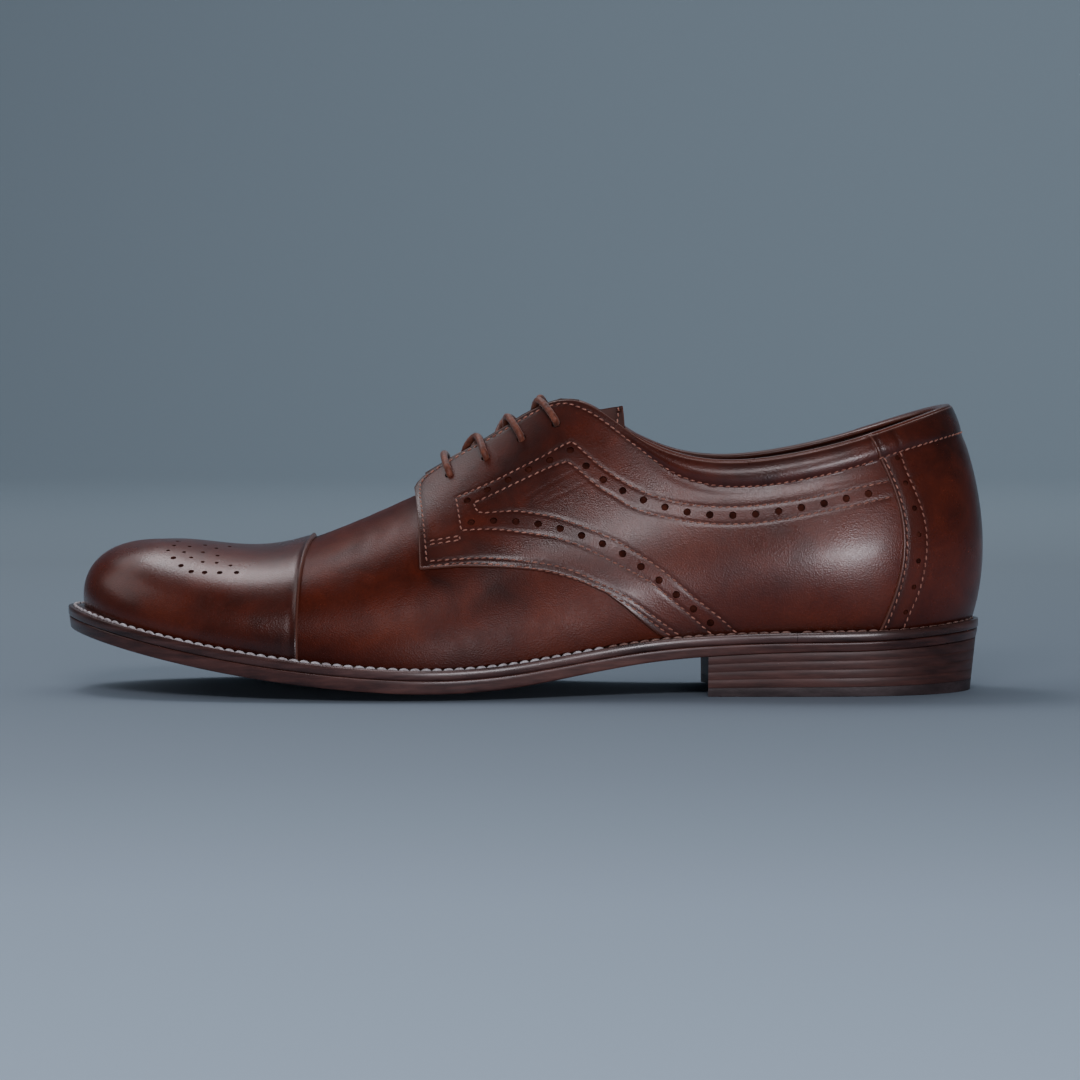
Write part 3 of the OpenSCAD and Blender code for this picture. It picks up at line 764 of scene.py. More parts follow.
STEEL = plain_look("steel", (rgb(128, 128, 130), rgb(150, 150, 152), rgb(170, 170, 172)), 120, (0.25, 0.45),
                   0.02, stretch=(0.2, 1, 1), Metallic=1.0)
BRASS = plain_look("dark_brass", (rgb(40, 26, 20), rgb(56, 38, 28), rgb(70, 50, 38)), 200, (0.35, 0.5),
                   0.02, Metallic=1.0)
CORK = plain_look("cork", (rgb(110, 72, 44), rgb(160, 112, 70), rgb(190, 144, 96)), 420,
                  (0.7, 0.9), 0.2, 600)
BOARD = plain_look("insole_leather", (rgb(150, 108, 78), rgb(172, 130, 96), rgb(188, 148, 112)), 60,
                   (0.6, 0.8))
STIFFENER = plain_look("stiffener_board", (rgb(150, 128, 104), rgb(172, 150, 124), rgb(188, 168, 142)),
                       80, (0.7, 0.9))
FOAM = plain_look("collar_foam", (rgb(176, 168, 150), rgb(196, 188, 170), rgb(208, 200, 184)), 300,
                  (0.8, 0.95), 0.15, 1800)
SOCK = leather_look("sock_leather", rgb(84, 46, 32), rgb(110, 62, 42), rgb(130, 78, 54), rgb(150, 100, 76),
                    (0.45, 0.6), 0.6, 0.0)


# ---------------------------------------------------------------- uppers

def stand_for(piece, node, body="shoe"):
    """Puts a piece on a body in place of a CAD node."""
    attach(piece, body)
    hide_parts(node)


def sew(name, seams, kind, depth, body="shoe"):
    """Stitching along (t, v) lines, on the leather's face at depth and sunk a little into it."""
    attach(stitches(name, [on_leather(l, kind, depth - THREAD_SUNK) for l in seams], THREAD), body)


def line(*points):
    """Smooth (station, height) line through points."""
    return curve(points, 14)


# Seams of the outer side as (station, height) lines; the inner side mirrors them.
BAND_OUTSIDE = [
    line((9.9, 0.01), (9.54, 0.12), (9.26, 0.197), (9, 0.26), (8.4, 0.337), (7.83, 0.405), (7.26, 0.473),
         (6.98, 0.51), (6.71, 0.537), (6.46, 0.555)),
    line((6.46, 0.555), (6.44, 0.617), (6.41, 0.72)),
    line((6.41, 0.72), (7.16, 0.733), (7.6, 0.742), (7.98, 0.777)),
    line((7.98, 0.777), (8.21, 0.727), (8.43, 0.697), (8.75, 0.683), (9.3, 0.69), (10, 0.712), (11, 0.735),
         (12, 0.752), (12.6, 0.75))]
BAND_INSIDE = [
    line((12.6, 0.672), (12.2, 0.667), (11.5, 0.655), (10.6, 0.62), (9.6, 0.595), (8.9, 0.578), (8.6, 0.593),
         (8.29, 0.618), (7.9, 0.695)),
    line((7.9, 0.695), (7.5, 0.683), (7.1, 0.677), (6.63, 0.663)),
    line((6.63, 0.663), (6.67, 0.62), (6.75, 0.603)),
    line((6.75, 0.603), (7.13, 0.57), (7.4, 0.533), (7.97, 0.46), (8.6, 0.405), (8.8, 0.38), (9.02, 0.35),
         (9.33, 0.283), (9.68, 0.18), (10, 0.09), (10.25, 0.01))]
BAND_HOLES = [
    line((6.55, 0.685), (6.8, 0.7), (7.3, 0.71), (7.65, 0.715), (7.95, 0.74)),
    line((8.17, 0.682), (8.42, 0.647), (8.75, 0.637), (9.3, 0.645), (10, 0.66), (10.6, 0.675), (11.2, 0.692),
         (11.85, 0.707), (12.25, 0.712)),
    line((6.59, 0.578), (6.87, 0.557), (7.14, 0.527), (7.6, 0.47), (8.02, 0.42), (8.6, 0.367), (8.8, 0.337),
         (9.05, 0.29), (9.26, 0.24), (9.64, 0.133), (9.88, 0.065))]
BAND_HOLE_PITCH = 7.4
BAND_HOLE_RADIUS = 1.3
COUNTER_HOLE_PITCH = 8.6
COUNTER_HOLE_RADIUS = 0.95
CAP_HOLE_RADII = 0.98, 0.68
LACE_HOLE_RADIUS = 1.5
COLLAR = line((8, 0.955), (8.25, 0.947), (8.5, 0.942), (8.8, 0.938), (9.08, 0.93), (9.33, 0.9), (9.6, 0.872),
              (10, 0.853), (10.6, 0.848), (11.3, 0.854), (12, 0.864), (12.8, 0.876), (13.6, 0.876),
              (15, 0.873))
FACING_EDGE = line((5.96, 0.43), (5.935, 0.6), (5.91, 0.78), (5.915, 0.87), (5.95, 0.918), (6.04, 0.948),
                   (6.2, 0.965), (6.6, 0.978), (7.2, 0.98), (7.7, 0.983), (8.05, 0.985))
LOWER_ROWS = [
    line((6.04, 0.453), (6.59, 0.425), (6.87, 0.405), (7.39, 0.353), (7.97, 0.29), (8.26, 0.25), (8.56, 0.21),
         (8.83, 0.163), (9.1, 0.1), (9.45, 0.015)),
    line((6.04, 0.43), (6.45, 0.414), (6.87, 0.382), (7.39, 0.33), (7.97, 0.265), (8.39, 0.215),
         (8.83, 0.135), (9.33, 0.015))]
LACE_STATIONS = [6.36, 6.84, 7.31, 7.78]
LACE_HEIGHT = 0.865
STITCH_IN = 1.5
COUNTER_STITCH_IN = 1.3
THREAD_SUNK = 0.1
FRONT_SLANT = 0.06


def collar_swell(t, v):
    """The padded collar bulges between its stitch line and the topline."""
    s = 15 - np.abs(15 - np.abs(t))
    low = np.interp(s, COLLAR[:, 0], COLLAR[:, 1])
    share = np.clip((v - low) / (1.0 - low), 0, 1)
    size = 1.35 * smooth(8.6, 9.8, s) * (1 - 0.85 * smooth(12.9, 14.5, s))
    under = np.exp(-((v - low + 0.02) / 0.035) ** 2) * smooth(8.8, 9.6, s)
    return size * np.sin(np.pi * np.minimum(1, share * 0.92 + 0.04)) ** 0.8 * (share > 0) - 0.25 * under


def quarter_seams(side):
    front = trimmed(shifted(FACING_EDGE, -STITCH_IN), v0=0.44)
    top = trimmed(COLLAR, t0=front[-1, 0] + 0.05, t1=12.45)
    tack = np.array([[(6.04, 0.548), (6.44, 0.533)], [(6.04, 0.53), (6.44, 0.515)],
                     [(6.44, 0.515), (6.44, 0.533)]])
    lines = [np.vstack([front, top]), *LOWER_ROWS, *tack, *BAND_OUTSIDE, *BAND_INSIDE]
    return [l * [side, 1] for l in lines]


def make_quarter(side, name):
    t0, t1 = (5.95, 13.2) if side > 0 else (-13.2, -5.95)
    grid = side_grid(t0, t1, table(QUARTER_LOW), table(QUARTER_HIGH), LEATHER_STEP)
    t, v = grid[:2]
    grid = (t - side * FRONT_SLANT * v * (1 - smooth(5.95, 6.7, np.abs(t))), v, None, None)
    seams = quarter_seams(side)
    creases = [np.array(c) * [side, 1] for c in (
        [(7.3, 0.6), (7.7, 0.625), (8.05, 0.66), (8.25, 0.7)],
        [(7.6, 0.56), (7.9, 0.58), (8.2, 0.62), (8.4, 0.63)],
        [(11.6, 0.79), (12.2, 0.785), (12.7, 0.8)])]
    quarter = panel(name + "_leather", grid, QUARTER_LAYER, QUARTER, CALF, collar_swell, seams,
                    creases if side > 0 else creases[:1])
    face = QUARTER_LAYER[1]
    holes = holes_along([l * [side, 1] for l in BAND_HOLES], face, BAND_HOLE_PITCH)
    punched(quarter, *holes, BAND_HOLE_RADIUS, depth=0.7)
    spots = on_leather([(side * t, LACE_HEIGHT) for t in LACE_STATIONS])
    punched(quarter, *spots, LACE_HOLE_RADIUS, depth=2.6)
    stand_for(quarter, name)
    sunk = [0.08] + [THREAD_SUNK] * (len(seams) - 1)
    paths = [on_leather(l, QUARTER, face - d) for l, d in zip(seams, sunk)]
    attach(stitches(name + "_stitching", paths, THREAD), "shoe")


def make_counter():
    grid = side_grid(COUNTER_START, 30 - COUNTER_START, always(0), always(1), LEATHER_STEP,
                     COUNTER_WAIST)
    heights = np.linspace(0.02, 0.985, 40)
    front = waisted(COUNTER_START, heights, COUNTER_WAIST)
    first = shifted(np.stack([front, heights], -1), -COUNTER_STITCH_IN, COUNTER_LAYER[1])
    second = line((12.76, 0.015), (12.84, 0.09), (12.99, 0.2), (13.09, 0.33), (13.13, 0.45), (13.1, 0.56),
                  (13, 0.68), (12.9, 0.78), (12.85, 0.86), (12.8, 0.93), (12.7, 0.985))
    holes = line((12.76, 0.1), (12.88, 0.22), (12.96, 0.35), (12.99, 0.48), (12.95, 0.6), (12.85, 0.73),
                 (12.78, 0.85))
    collar = np.vstack([COLLAR, (COLLAR * [-1, 1] + [30, 0])[::-1][1:]])
    collar = trimmed(collar, COUNTER_START + 0.12, 30 - COUNTER_START - 0.12)
    other = [np.stack([30 - l[:, 0], l[:, 1]], -1) for l in (first, second, holes)]
    seams = [first, second, other[0], other[1], collar]
    creases = [[(12.9, 0.8), (13.5, 0.805), (14.2, 0.79)], [(13.1, 0.775), (13.7, 0.77), (14.4, 0.775)],
               [(12.95, 0.74), (13.4, 0.745), (14.0, 0.73)], [(13.2, 0.835), (13.8, 0.83), (14.5, 0.84)],
               [(15.6, 0.8), (16.3, 0.79), (16.9, 0.8)], [(15.5, 0.75), (16.2, 0.755), (16.8, 0.74)]]
    cover = panel("counter_cover_leather", grid, COUNTER_LAYER, QUARTER, CALF, collar_swell, seams,
                  creases)
    dents = holes_along((holes, other[2]), COUNTER_LAYER[1], COUNTER_HOLE_PITCH)
    punched(cover, *dents, COUNTER_HOLE_RADIUS, depth=0.6)
    stand_for(cover, "counter_cover")
    sew("counter_cover_stitching", seams, QUARTER, COUNTER_LAYER[1])


# The toe cap's punched holes, the larger ones first.
LARGE_HOLES = 6
MEDALLION = [(1.98, 0.615), (2.25, 0.55), (2.5, 0.51), (2.73, 0.52), (2.98, 0.535), (3.26, 0.55),
             (2.27, 0.65), (2.55, 0.62), (2.8, 0.63), (3.08, 0.615), (2.02, 0.7), (2.34, 0.735),
             (2.68, 0.715), (1.7, 0.69), (1.62, 0.77), (1.92, 0.79), (2.12, 0.85), (2.45, 0.82),
             (2.62, 0.88), (1.4, 0.86)]


def cap_fold(t, v):
    """The cap's back edge is folded under, so it stands up as a soft bead."""
    x = (CAP_END - np.abs(t)) * 24
    return 0.38 * np.exp(-((x - 0.8) / 0.6) ** 2) - 0.1 * np.exp(-((x - 2.4) / 0.9) ** 2)


def make_toe_cap():
    cap = panel("toe_cap_leather", cap_grid(CAP_END, 0.7), CAP_LAYER, RIDGE, CALF, cap_fold, rims="tb")
    spots = np.array([*MEDALLION, *[(-t, v) for t, v in MEDALLION]])
    radii = np.where(np.arange(len(spots)) % len(MEDALLION) < LARGE_HOLES, *CAP_HOLE_RADII)
    punched(cap, *on_leather(spots, RIDGE, CAP_LAYER[1]), radii, depth=0.8)
    stand_for(cap, "toe_cap")


def flexed(t, v):
    """Faint folds across the vamp where the foot bends."""
    a = np.abs(t)
    window = smooth(4.6, 5.1, a) * (1 - smooth(5.9, 6.4, a)) * smooth(0.25, 0.5, v)
    return 0.035 * window * np.sin(a * 19 + 2.2 * np.sin(v * 7) + 0.8 * np.sin(v * 23))


def make_vamp():
    grid = saddle_grid(3.75, 10, always(0), table(THROAT), 0.85, VAMP)
    vamp = panel("vamp_leather", grid, VAMP_LAYER, VAMP, FLEXED_CALF, flexed, rims="")
    stand_for(vamp, "vamp")


def make_linings():
    grid = saddle(np.linspace(0, 7, 90), np.linspace(0, 1, 40), always(0),
                  table(([0, 6.5, 6.75, 7], [1, 1, 0.68, 0.58])), closed_toe=True)
    lining = panel("vamp_lining_leather", grid, (-1.4, -0.4), VAMP, LINING, rims="")
    stand_for(lining, "vamp_lining")
    for side, name in ((1, "quarter_lining_lateral"), (-1, "quarter_lining_medial")):
        ends = (7.1, 12.12) if side > 0 else (-12.12, -7.1)
        grid = side_grid(*ends, always(0), table(LINING_HIGH), 1.0)
        piece = panel(name + "_leather", grid, LINING_LAYER, QUARTER, LINING, rims="")
        stand_for(piece, name)
    grid = side_grid(12.18, 17.82, always(0), always(0.99), 1.0)
    grip = panel("heel_grip_leather", grid, LINING_LAYER, QUARTER, LINING, rims="tb")
    stand_for(grip, "heel_grip")
    paths = []
    for t in (12.32, 17.68):
        p, n = on_leather([(t, v) for v in np.linspace(0.05, 0.97, 30)], QUARTER, LINING_LAYER[0] + 0.05)
        paths.append((p, -n))
    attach(stitches("heel_grip_stitching", paths, THREAD), "shoe")


def make_collar():
    """Foam strip inside the collar, and the bound topline over all the layers."""
    ts, fs = spaced(8.75, 21.25, 1.0, 190), np.linspace(0, 1, 12)
    s = 15 - np.abs(15 - ts)
    low = np.interp(s, [8.75, 9.5, 12], [0.93, 0.87, 0.86])
    high = np.interp(s, [8.75, 9.5], [0.97, 0.985])
    foam = panel("collar_foam_strip", (*ruled(ts, fs, low, high), None, None), (0.1, 0.45), QUARTER,
                 FOAM, lambda t, v: 0.5 * np.sin(np.pi * fs)[None, :] + 0 * v, rims="")
    stand_for(foam, "collar_padding")
    start, stop = 8.85, 21.15
    ts = np.linspace(start, stop, 420)
    base, normal = skin(ts, 1.0, QUARTER), facing_out(ts, np.full(len(ts), 0.99), QUARTER)
    up = unit(skin(ts, 1.0, QUARTER) - skin(ts, 0.985, QUARTER))
    size = smooth(start, 9.3, ts) * (1 - smooth(20.7, stop, ts))
    over = smooth(12.2, 12.4, ts) * (1 - smooth(17.6, 17.8, ts))
    angle = np.linspace(0, 2 * np.pi, 17)[:-1]
    middle, half = 0.6 + 0.5 * over, 1.75 + 0.55 * over
    rings = []
    for a in angle:
        d = middle + half * np.sign(np.cos(a)) * abs(np.cos(a)) ** 0.75
        h = 0.15 + (0.35 + 0.65 * size) * np.sign(np.sin(a)) * abs(np.sin(a)) ** 0.8
        rings.append(base + normal * d[:, None] + up * h[:, None])
    count = len(ts) * len(angle) + 2
    binding = swept("topline_roll", np.stack(rings, 1), CALF,
                    {"shade": np.full(count, 0.25), "edge_wear_and_highlight": np.full(count, 0.35)})
    stand_for(binding, "topline_binding")


def make_tongue():
    low = table(TONGUE_LOW)
    half = line((7.1, 0.755), (7.5, 0.705), (8.35, 0.695), (8.57, 0.755), (8.68, 0.85), (8.72, 0.93),
                (8.73, 0.995))
    other_half = half * [-1, 1]
    for name, ends, inset, layer, look, slot, seams in (
            ("tongue", (6.7, 8.8), 0, (-1.5, -0.4), TONGUE_CALF, "upper_leather",
             [np.vstack([half, other_half[::-1]])]),
            ("tongue_lining", (6.75, 8.77), 0.008, (-2.4, -1.6), LINING, "lining_leather", [])):
        grid = saddle_grid(*ends, lambda t: low(t) + inset, always(1), 0.6, TONGUE)
        piece = panel(name + "_leather", grid, layer, TONGUE, look, seams=seams)
        stand_for(piece, name, "tongue")
        if seams:
            sew("tongue_stitching", (half, other_half), TONGUE, layer[1], "tongue")


# ---------------------------------------------------------------- sole and heel

def edge_point(t, out, z):
    p = feather(t) + outward(t) * np.asarray(out, float)[..., None]
    p[..., 2] += z
    return p


def crown(s):
    """How far the sole's middle hangs below its edges."""
    return 2.35 * smooth(1.5, 5, s) * (1 - smooth(7, 10, s))


def welt_at(t):
    return np.interp(np.abs(around(t)), *WELT_EDGE)


def sole_point(s, w, out, z, bow=0.0):
    a, b, c = edge_point(s, out, z), edge_point(-s, out, z), 1 - (2 * w - 1) ** 2
    p = a + (b - a) * w[..., None]
    p[..., 0] += bow * c
    p[..., 2] -= crown(s) * c
    return p


def slab(name, ss, levels, material, bow=0.0, cols=26):
    """Layer of the sole; levels are [how far out, height] as functions of s, from the top down."""
    w = 0.5 - 0.5 * np.cos(np.pi * np.linspace(0, 1, cols))
    s, w = np.meshgrid(ss, w, indexing="ij")
    lean = bow * (1 - smooth(ss[0], ss[0] + 1.5, s))
    grids = [sole_point(s, w, out(s), z(s), lean) for out, z in levels]

    def same(index):
        index = index.copy()
        for i in (0, -1):
            if ss[i] in (0, 15):
                index[i] = index[i, 0]
        return index

    return closed_shell(name, grids, material, same)


def rounded_levels(out_top, z_top, out_low, z_low, r, steps=3, middle=4):
    """Levels down a side wall with both of its edges rounded to radius r."""
    levels = []
    for i in range(steps + 1):
        a = i / steps * math.pi / 2
        levels.append((lambda s, a=a: out_top(s) - r * (1 - math.sin(a)),
                       lambda s, a=a: z_top(s) - r * (1 - math.cos(a))))
    for i in range(1, middle):
        f = i / middle
        levels.append((lambda s, f=f: out_top(s) * (1 - f) + out_low(s) * f,
                       lambda s, f=f: (z_top(s) - r) * (1 - f) + (z_low(s) + r) * f))
    for i in range(steps + 1):
        a = i / steps * math.pi / 2
        levels.append((lambda s, a=a: out_low(s) - r * (1 - math.cos(a)),
                       lambda s, a=a: z_low(s) + r * (1 - math.sin(a))))
    return levels


def seat(s):
    """Height of the heel seat from the feather line, just under the outsole."""
    return -WELT_HEIGHT - np.interp(s, *SOLE_DEPTH) - 0.05


def heel_level(f):
    """The heel's edge and height, from the floor at 0 to the seat at 1."""
    return always(3.2 + 1.8 * f), lambda s: f * seat(s) - (1 - f) * spline(s)[..., 2]


def rows_round(t0, t1, step, out):
    """Stations an even distance apart along the edge of the sole."""
    ts = np.linspace(t0, t1, 2000)
    p = edge_point(ts, np.full(len(ts), float(out)), 0)
    return even(p, step, ts[:, None])[:, 3]


WELT_PITCH = 3.6
WELT_STITCH_IN = 2.1
WHEEL_MARK = 0.12
# Round the welt's section: from the feather line or from its own edge, how far out, height, and
# the share of the stitch wheel's marks.
WELT_SECTION = [
    ("in", -1.4, -WELT_HEIGHT, 0), ("in", -1.4, -0.1, 0), ("in", 0.5, -0.12, 0),
    ("edge", -3.1, -0.12, 0.2), ("edge", -2.6, -0.3, 1), ("edge", -2.1, -0.42, 1),
    ("edge", -1.6, -0.3, 1), ("edge", -1.15, -0.14, 0.3), ("edge", -0.5, -0.12, 0),
    ("edge", -0.16, -0.24, 0), ("edge", 0, -0.6, 0), ("edge", 0, -1.6, 0), ("edge", -0.05, -2.7, 0),
    ("edge", -0.2, -3.1, 0), ("edge", -0.5, -WELT_HEIGHT, 0)]


def edge_band(name, t0, t1, material):
    """Welt or rand: a bar round the edge, with a sewing groove and wheel marks on its top."""
    ts = rows_round(t0, t1, 0.7, 6)
    edge = welt_at(ts)
    mark = WHEEL_MARK * np.cos(2 * np.pi * travelled(edge_point(ts, edge, 0)) / WELT_PITCH)
    across = np.linalg.norm(feather(ts)[:, :2] - feather(-ts)[:, :2], axis=1) + 2 * edge
    rings = []
    for where, out, z, share in WELT_SECTION:
        out = np.full(len(ts), out) if where == "in" else edge + out
        w = np.minimum(0.5, (edge - out) / np.maximum(8, across))
        dip = crown(np.abs(around(ts))) * (1 - (2 * w - 1) ** 2)
        rings.append(edge_point(ts, out, z - dip + share * mark))
    return swept(name, np.stack(rings, 1), material)


def sole_rows(start, count, tip):
    """Stations from start to the back of the heel, closer together at the tips of the sole."""
    rows = [np.linspace(start, 14, count), 15 - np.linspace(1, 0, tip)[1:] ** 1.6]
    if start < HEEL_START:
        rows.insert(0, np.linspace(0, 1, tip) ** 1.6)
    return np.concatenate(rows)


def make_sole():
    stand_for(edge_band("welt_strip", -11.08, 11.08, WELT), "welt")
    stand_for(edge_band("heel_rand_strip", 11.084, 18.916, WELT), "heel_rand")
    for name, t0, t1, look in (("welt_stitching", -8.4, 8.4, WHITE_THREAD),
                               ("waist_stitching_outer", 8.45, 11.0, BROWN_THREAD),
                               ("waist_stitching_inner", -11.0, -8.45, BROWN_THREAD),
                               ("rand_stitching", 11.15, 18.85, BROWN_THREAD)):
        ts = rows_round(t0, t1, 0.8, 4)
        p = edge_point(ts, welt_at(ts) - WELT_STITCH_IN, -0.12)
        n = np.tile([0.0, 0.0, 1.0], (len(ts), 1)) + outward(ts) * 0.25
        thick = 0.5 if look is WHITE_THREAD else 0.38
        thread = stitches(name, [(p, unit(n))], look, WELT_PITCH, thick, proud=0.16, lean=0.05, fill=0.98)
        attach(thread, "shoe")
    edge, depth = table(WELT_EDGE), table(SOLE_DEPTH)
    levels = rounded_levels(lambda s: edge(s) - 0.3, always(-WELT_HEIGHT - 0.12),
                            lambda s: edge(s) - 0.75, lambda s: -WELT_HEIGHT - depth(s), r=0.45)
    stand_for(slab("outsole_leather", sole_rows(1.06, 190, 22), levels, OUTSOLE), "outsole")
    ss = sole_rows(HEEL_START, 80, 26)
    step = (1 - TOP_PIECE) / LIFTS
    for i in range(LIFTS):
        low, high = TOP_PIECE + i * step + 0.001, TOP_PIECE + (i + 1) * step
        levels = rounded_levels(*heel_level(high), *heel_level(low), r=0.045, steps=2, middle=2)
        lift = slab(f"heel_lift_{i + 1}_leather", ss, levels, HEEL, HEEL_BREAST_BOW)
        stand_for(lift, f"heel_lift_{i + 1}")
    levels = rounded_levels(*heel_level(TOP_PIECE), *heel_level(0), r=0.2, middle=2)
    rubber = slab("top_piece_rubber", ss, levels, RUBBER, HEEL_BREAST_BOW)
    stand_for(rubber, "top_piece")
    levels = [(always(out), always(z)) for out, z in ((-2.2, 2.6), (-2, 2.4), (-2, 1.7))]
    sock = slab("sock_liner_leather", sole_rows(1.1, 110, 14), levels, SOCK)
    stand_for(sock, "sock_liner")


# ---------------------------------------------------------------- lace

# Tucked beside the insole on the outer side, up to the fourth row, crossing down to a straight
# bar at the first row, crossing up again, and down the inner side.
LACE_ROUTE = [
    [-88, -31, 21.5], [-60, -35.5, 17], [-22.5, -36.5, 29.5], [3, -24, 61], [9, -15, 78.5],
    [11, -10.5, 86.5], [10, -14, 91], [5, -6.5, 96.5], [3, 0, 91], [2, 5, 86.5], [0.5, 9.5, 82.5],
    [-1, 14, 86], [-5, 6, 90.5], [-8.5, 0.5, 85.5], [-8.5, -4.5, 80.5], [-11, -9, 75.5],
    [-13, -13.5, 79.5], [-15.5, -5, 84.5], [-19, -1, 81], [-20.5, 3, 75], [-22.5, 9, 70.5],
    [-24.5, 12.5, 74], [-26, 4.5, 78], [-26.5, -4, 78], [-25, -12, 74], [-23, -10, 70],
    [-20, -4.5, 74], [-17, -1, 78], [-15.5, 5, 84], [-13, 12.5, 79.5], [-11, 10, 76], [-9, 5, 79.5],
    [-6, 1, 82.5], [-5.5, -6, 91], [-1.5, -13.5, 86], [0, -11, 82.5], [2, -5.5, 84.5], [5.5, 0, 88],
    [5.5, 6.5, 97], [9.5, 14, 90.5], [11.5, 10, 86.5], [9, 14, 77.5], [3, 20.5, 61],
    [-22, 31.5, 28], [-42, 35.5, 17.5], [-64, 35, 18]]
LACE_RADIUS = 1.2
BRAID_TURN = 3.2
# An aglet's distances from the lace's end, and how much thicker than the lace it is there.
AGLET_PROFILE = np.array([[0.2, 0.3, 0.6, 2, 4, 6, 8, 10, 11.4, 11.9, 12.0],
                          [0, 0.14, 0.2, 0.2, 0.17, 0.2, 0.17, 0.2, 0.15, 0, -0.3]])


def tube_rings(path, radius, sides):
    """Rings round a path that don't twist; radius is a function of (ring, angles)."""
    path = np.asarray(path, float)
    tangent = unit(np.gradient(path, axis=0))
    side = unit(np.cross(tangent[0], [0.2, 0.3, 1]))
    angle = np.arange(sides) * 2 * np.pi / sides
    rings = []
    for i, (p, t) in enumerate(zip(path, tangent)):
        side = unit(side - t * (side @ t))
        r = radius(i, angle)
        rings.append(p + r[:, None] * circle(side, np.cross(t, side), sides))
    return np.array(rings)


def make_lace():
    step = 0.36

    def braid(i, angle):
        turn = i * step * 2 * np.pi / BRAID_TURN
        return LACE_RADIUS * (0.97 + 0.05 * np.sin(4 * angle + turn) * np.sin(4 * angle - turn))

    path = even(curve(LACE_ROUTE), step)
    lace = swept("lace_cord", tube_rings(path, braid, 20), LACE)
    lace.data.set_sharp_from_angle(angle=math.radians(80))
    stand_for(lace, "lace")
    at, thicker = AGLET_PROFILE
    size = LACE_RADIUS + thicker
    for number, (end, before) in enumerate((LACE_ROUTE[:2], LACE_ROUTE[:-3:-1]), 1):
        path = np.asarray(end) + np.outer(at, unit(np.subtract(end, before)))
        rings = tube_rings(path, lambda i, angle: np.full(len(angle), size[i]), 18)
        stand_for(swept(f"aglet_{number}", rings, AGLET), "aglets")


# ---------------------------------------------------------------- stage, camera and lights

CAMERA_DISTANCE = 1500
CAMERA_HEIGHT = 132
CAMERA_TARGET = 49.7
CAMERA_X = 5.1
LENS = 150
# Colours of the floor and wall from front to back: painted light, bright near the front and darker toward the
# wall.
STAGE_PAINTED_FALLOFF = ((0.03, rgb(186, 213, 236)), (0.115, rgb(182, 207, 229)), (0.2, rgb(160, 181, 199)),
               (0.27, rgb(144, 163, 180)), (0.48, rgb(128, 143, 156)), (0.8, rgb(134, 149, 162)))


def make_camera():
    data = bpy.data.cameras.new("camera")
    data.lens = LENS
    data.sensor_width = 36
    data.clip_end = 20
    camera = bpy.data.objects.new("camera", data)
    camera.location = Vector((CAMERA_X, -CAMERA_DISTANCE, CAMERA_HEIGHT)) * MM
    aim = Vector((CAMERA_X, 0, CAMERA_TARGET)) * MM - camera.location
    camera.rotation_euler = aim.to_track_quat("-Z", "Y").to_euler()
    bpy.context.scene.collection.objects.link(camera)
    bpy.context.scene.camera = camera


def make_stage():
    """A pale sweep: flat floor that curves up into a wall far behind the shoe."""
    radius, back, front, half, top = 900, 1700, -3000, 3500, 3200
    turn = np.linspace(0, np.pi / 2, 24)
    y = np.concatenate([[front, -600, 0, 600], back + radius * np.sin(turn), [back + radius]])
    z = np.concatenate([[0, 0, 0, 0], radius * (1 - np.cos(turn)), [top]])
    x = np.linspace(-half, half, 9)
    points = np.array([[u, a, b] for a, b in zip(y, z) for u in x])
    look = Look("studio_paper", 0.85)
    depth = look.add("SeparateXYZ", {0: look.place}).outputs["Y"]
    mottle = look.span(look.noise(1.2, 2), 0, 1, -0.03, 0.03)
    # Painted light: the floor's colour darkens from the front toward the wall, with a faint mottle.
    painted_falloff = look.maths("ADD", look.span(depth, -0.9, 2.4), mottle)
    material = look.finish(look.ramp(painted_falloff, *STAGE_PAINTED_FALLOFF), None, look.bump(look.noise(900, 2), 0.02, 0.3))
    floor = make_mesh("floor", points - SHIFT, grid_faces(len(y), len(x)), material, sharp=0)


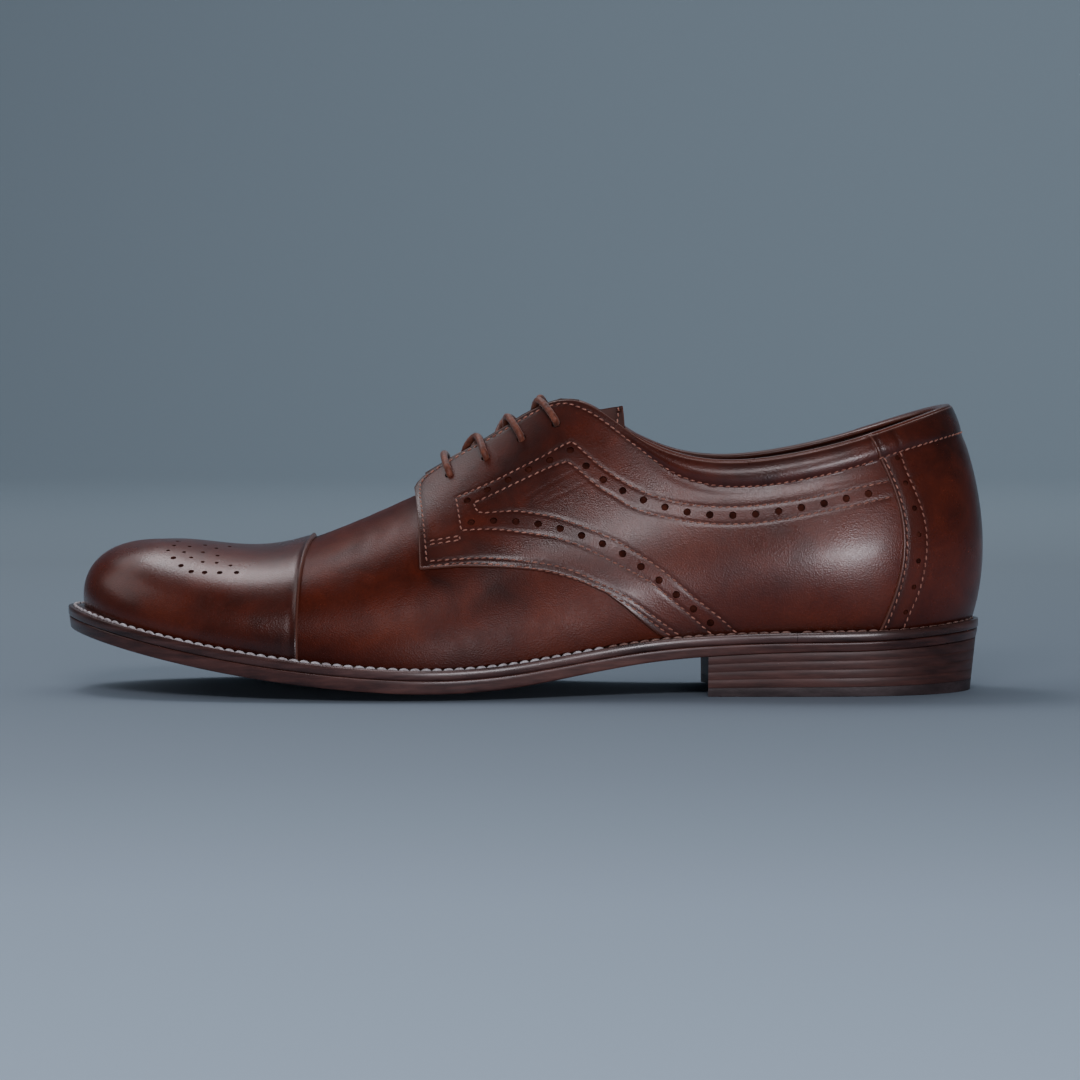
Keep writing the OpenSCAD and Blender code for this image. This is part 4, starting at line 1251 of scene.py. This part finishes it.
def area_light(name, place, aim, size, power, colour):
    data = bpy.data.lights.new(name, "AREA")
    data.shape = "RECTANGLE"
    data.size, data.size_y = size
    data.energy = power
    data.color = colour
    light = bpy.data.objects.new(name, data)
    light.location = place
    light.rotation_euler = (Vector(aim) - Vector(place)).to_track_quat("-Z", "Y").to_euler()
    bpy.context.scene.collection.objects.link(light)


def make_lights():
    area_light("overhead", (-0.34, 0.5, 1.25), (-0.05, 0, 0.05), (0.36, 0.38), 2.2, (1, 0.92, 0.96))
    area_light("canopy", (-0.1, 0.8, 1.5), (0, 0, 0), (2.2, 0.9), 6.5, (0.98, 0.97, 1))
    area_light("left_soft", (-1.1, 0, 0.85), (-0.08, 0, 0.04), (0.9, 0.8), 2.4, (1, 0.92, 0.93))
    area_light("key", (-0.05, -1.2, 0.8), (0.05, 0, 0.05), (0.62, 0.24), 4.3, (1, 0.91, 0.95))
    area_light("right_fill", (0.48, -1.4, 0.075), (0.08, 0, 0.05), (0.48, 0.12), 5.6, (1, 0.94, 1))
    area_light("wall_light", (0.7, 0.9, 1.6), (0.5, 2.6, 0.7), (2.4, 0.6), 22, (0.95, 0.98, 1))
    world = bpy.data.worlds.new("studio")
    world.use_nodes = True
    sky = world.node_tree.nodes["Background"].inputs
    sky["Color"].default_value = (0.72, 0.82, 0.9, 1)
    sky["Strength"].default_value = 0.08
    bpy.context.scene.world = world


def finish_inner_nodes():
    """Pieces whose CAD shape is right keep it, and take a finish of their own."""
    looks = {"toe_puff": STIFFENER, "heel_stiffener": STIFFENER, "insole_board": BOARD, "cork_filler": CORK,
             "shank": STEEL, "heel_nails": STEEL, "eyelets": BRASS, "facing_stay_lateral": LINING,
             "facing_stay_medial": LINING}
    for name, look in looks.items():
        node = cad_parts[name]
        node.data.materials.clear()
        node.data.materials.append(look)


make_camera()
make_lace()
make_toe_cap()
make_vamp()
make_quarter(1, "quarter_lateral")
make_quarter(-1, "quarter_medial")
make_counter()
make_linings()
make_collar()
make_tongue()
make_sole()
finish_inner_nodes()
make_stage()
make_lights()
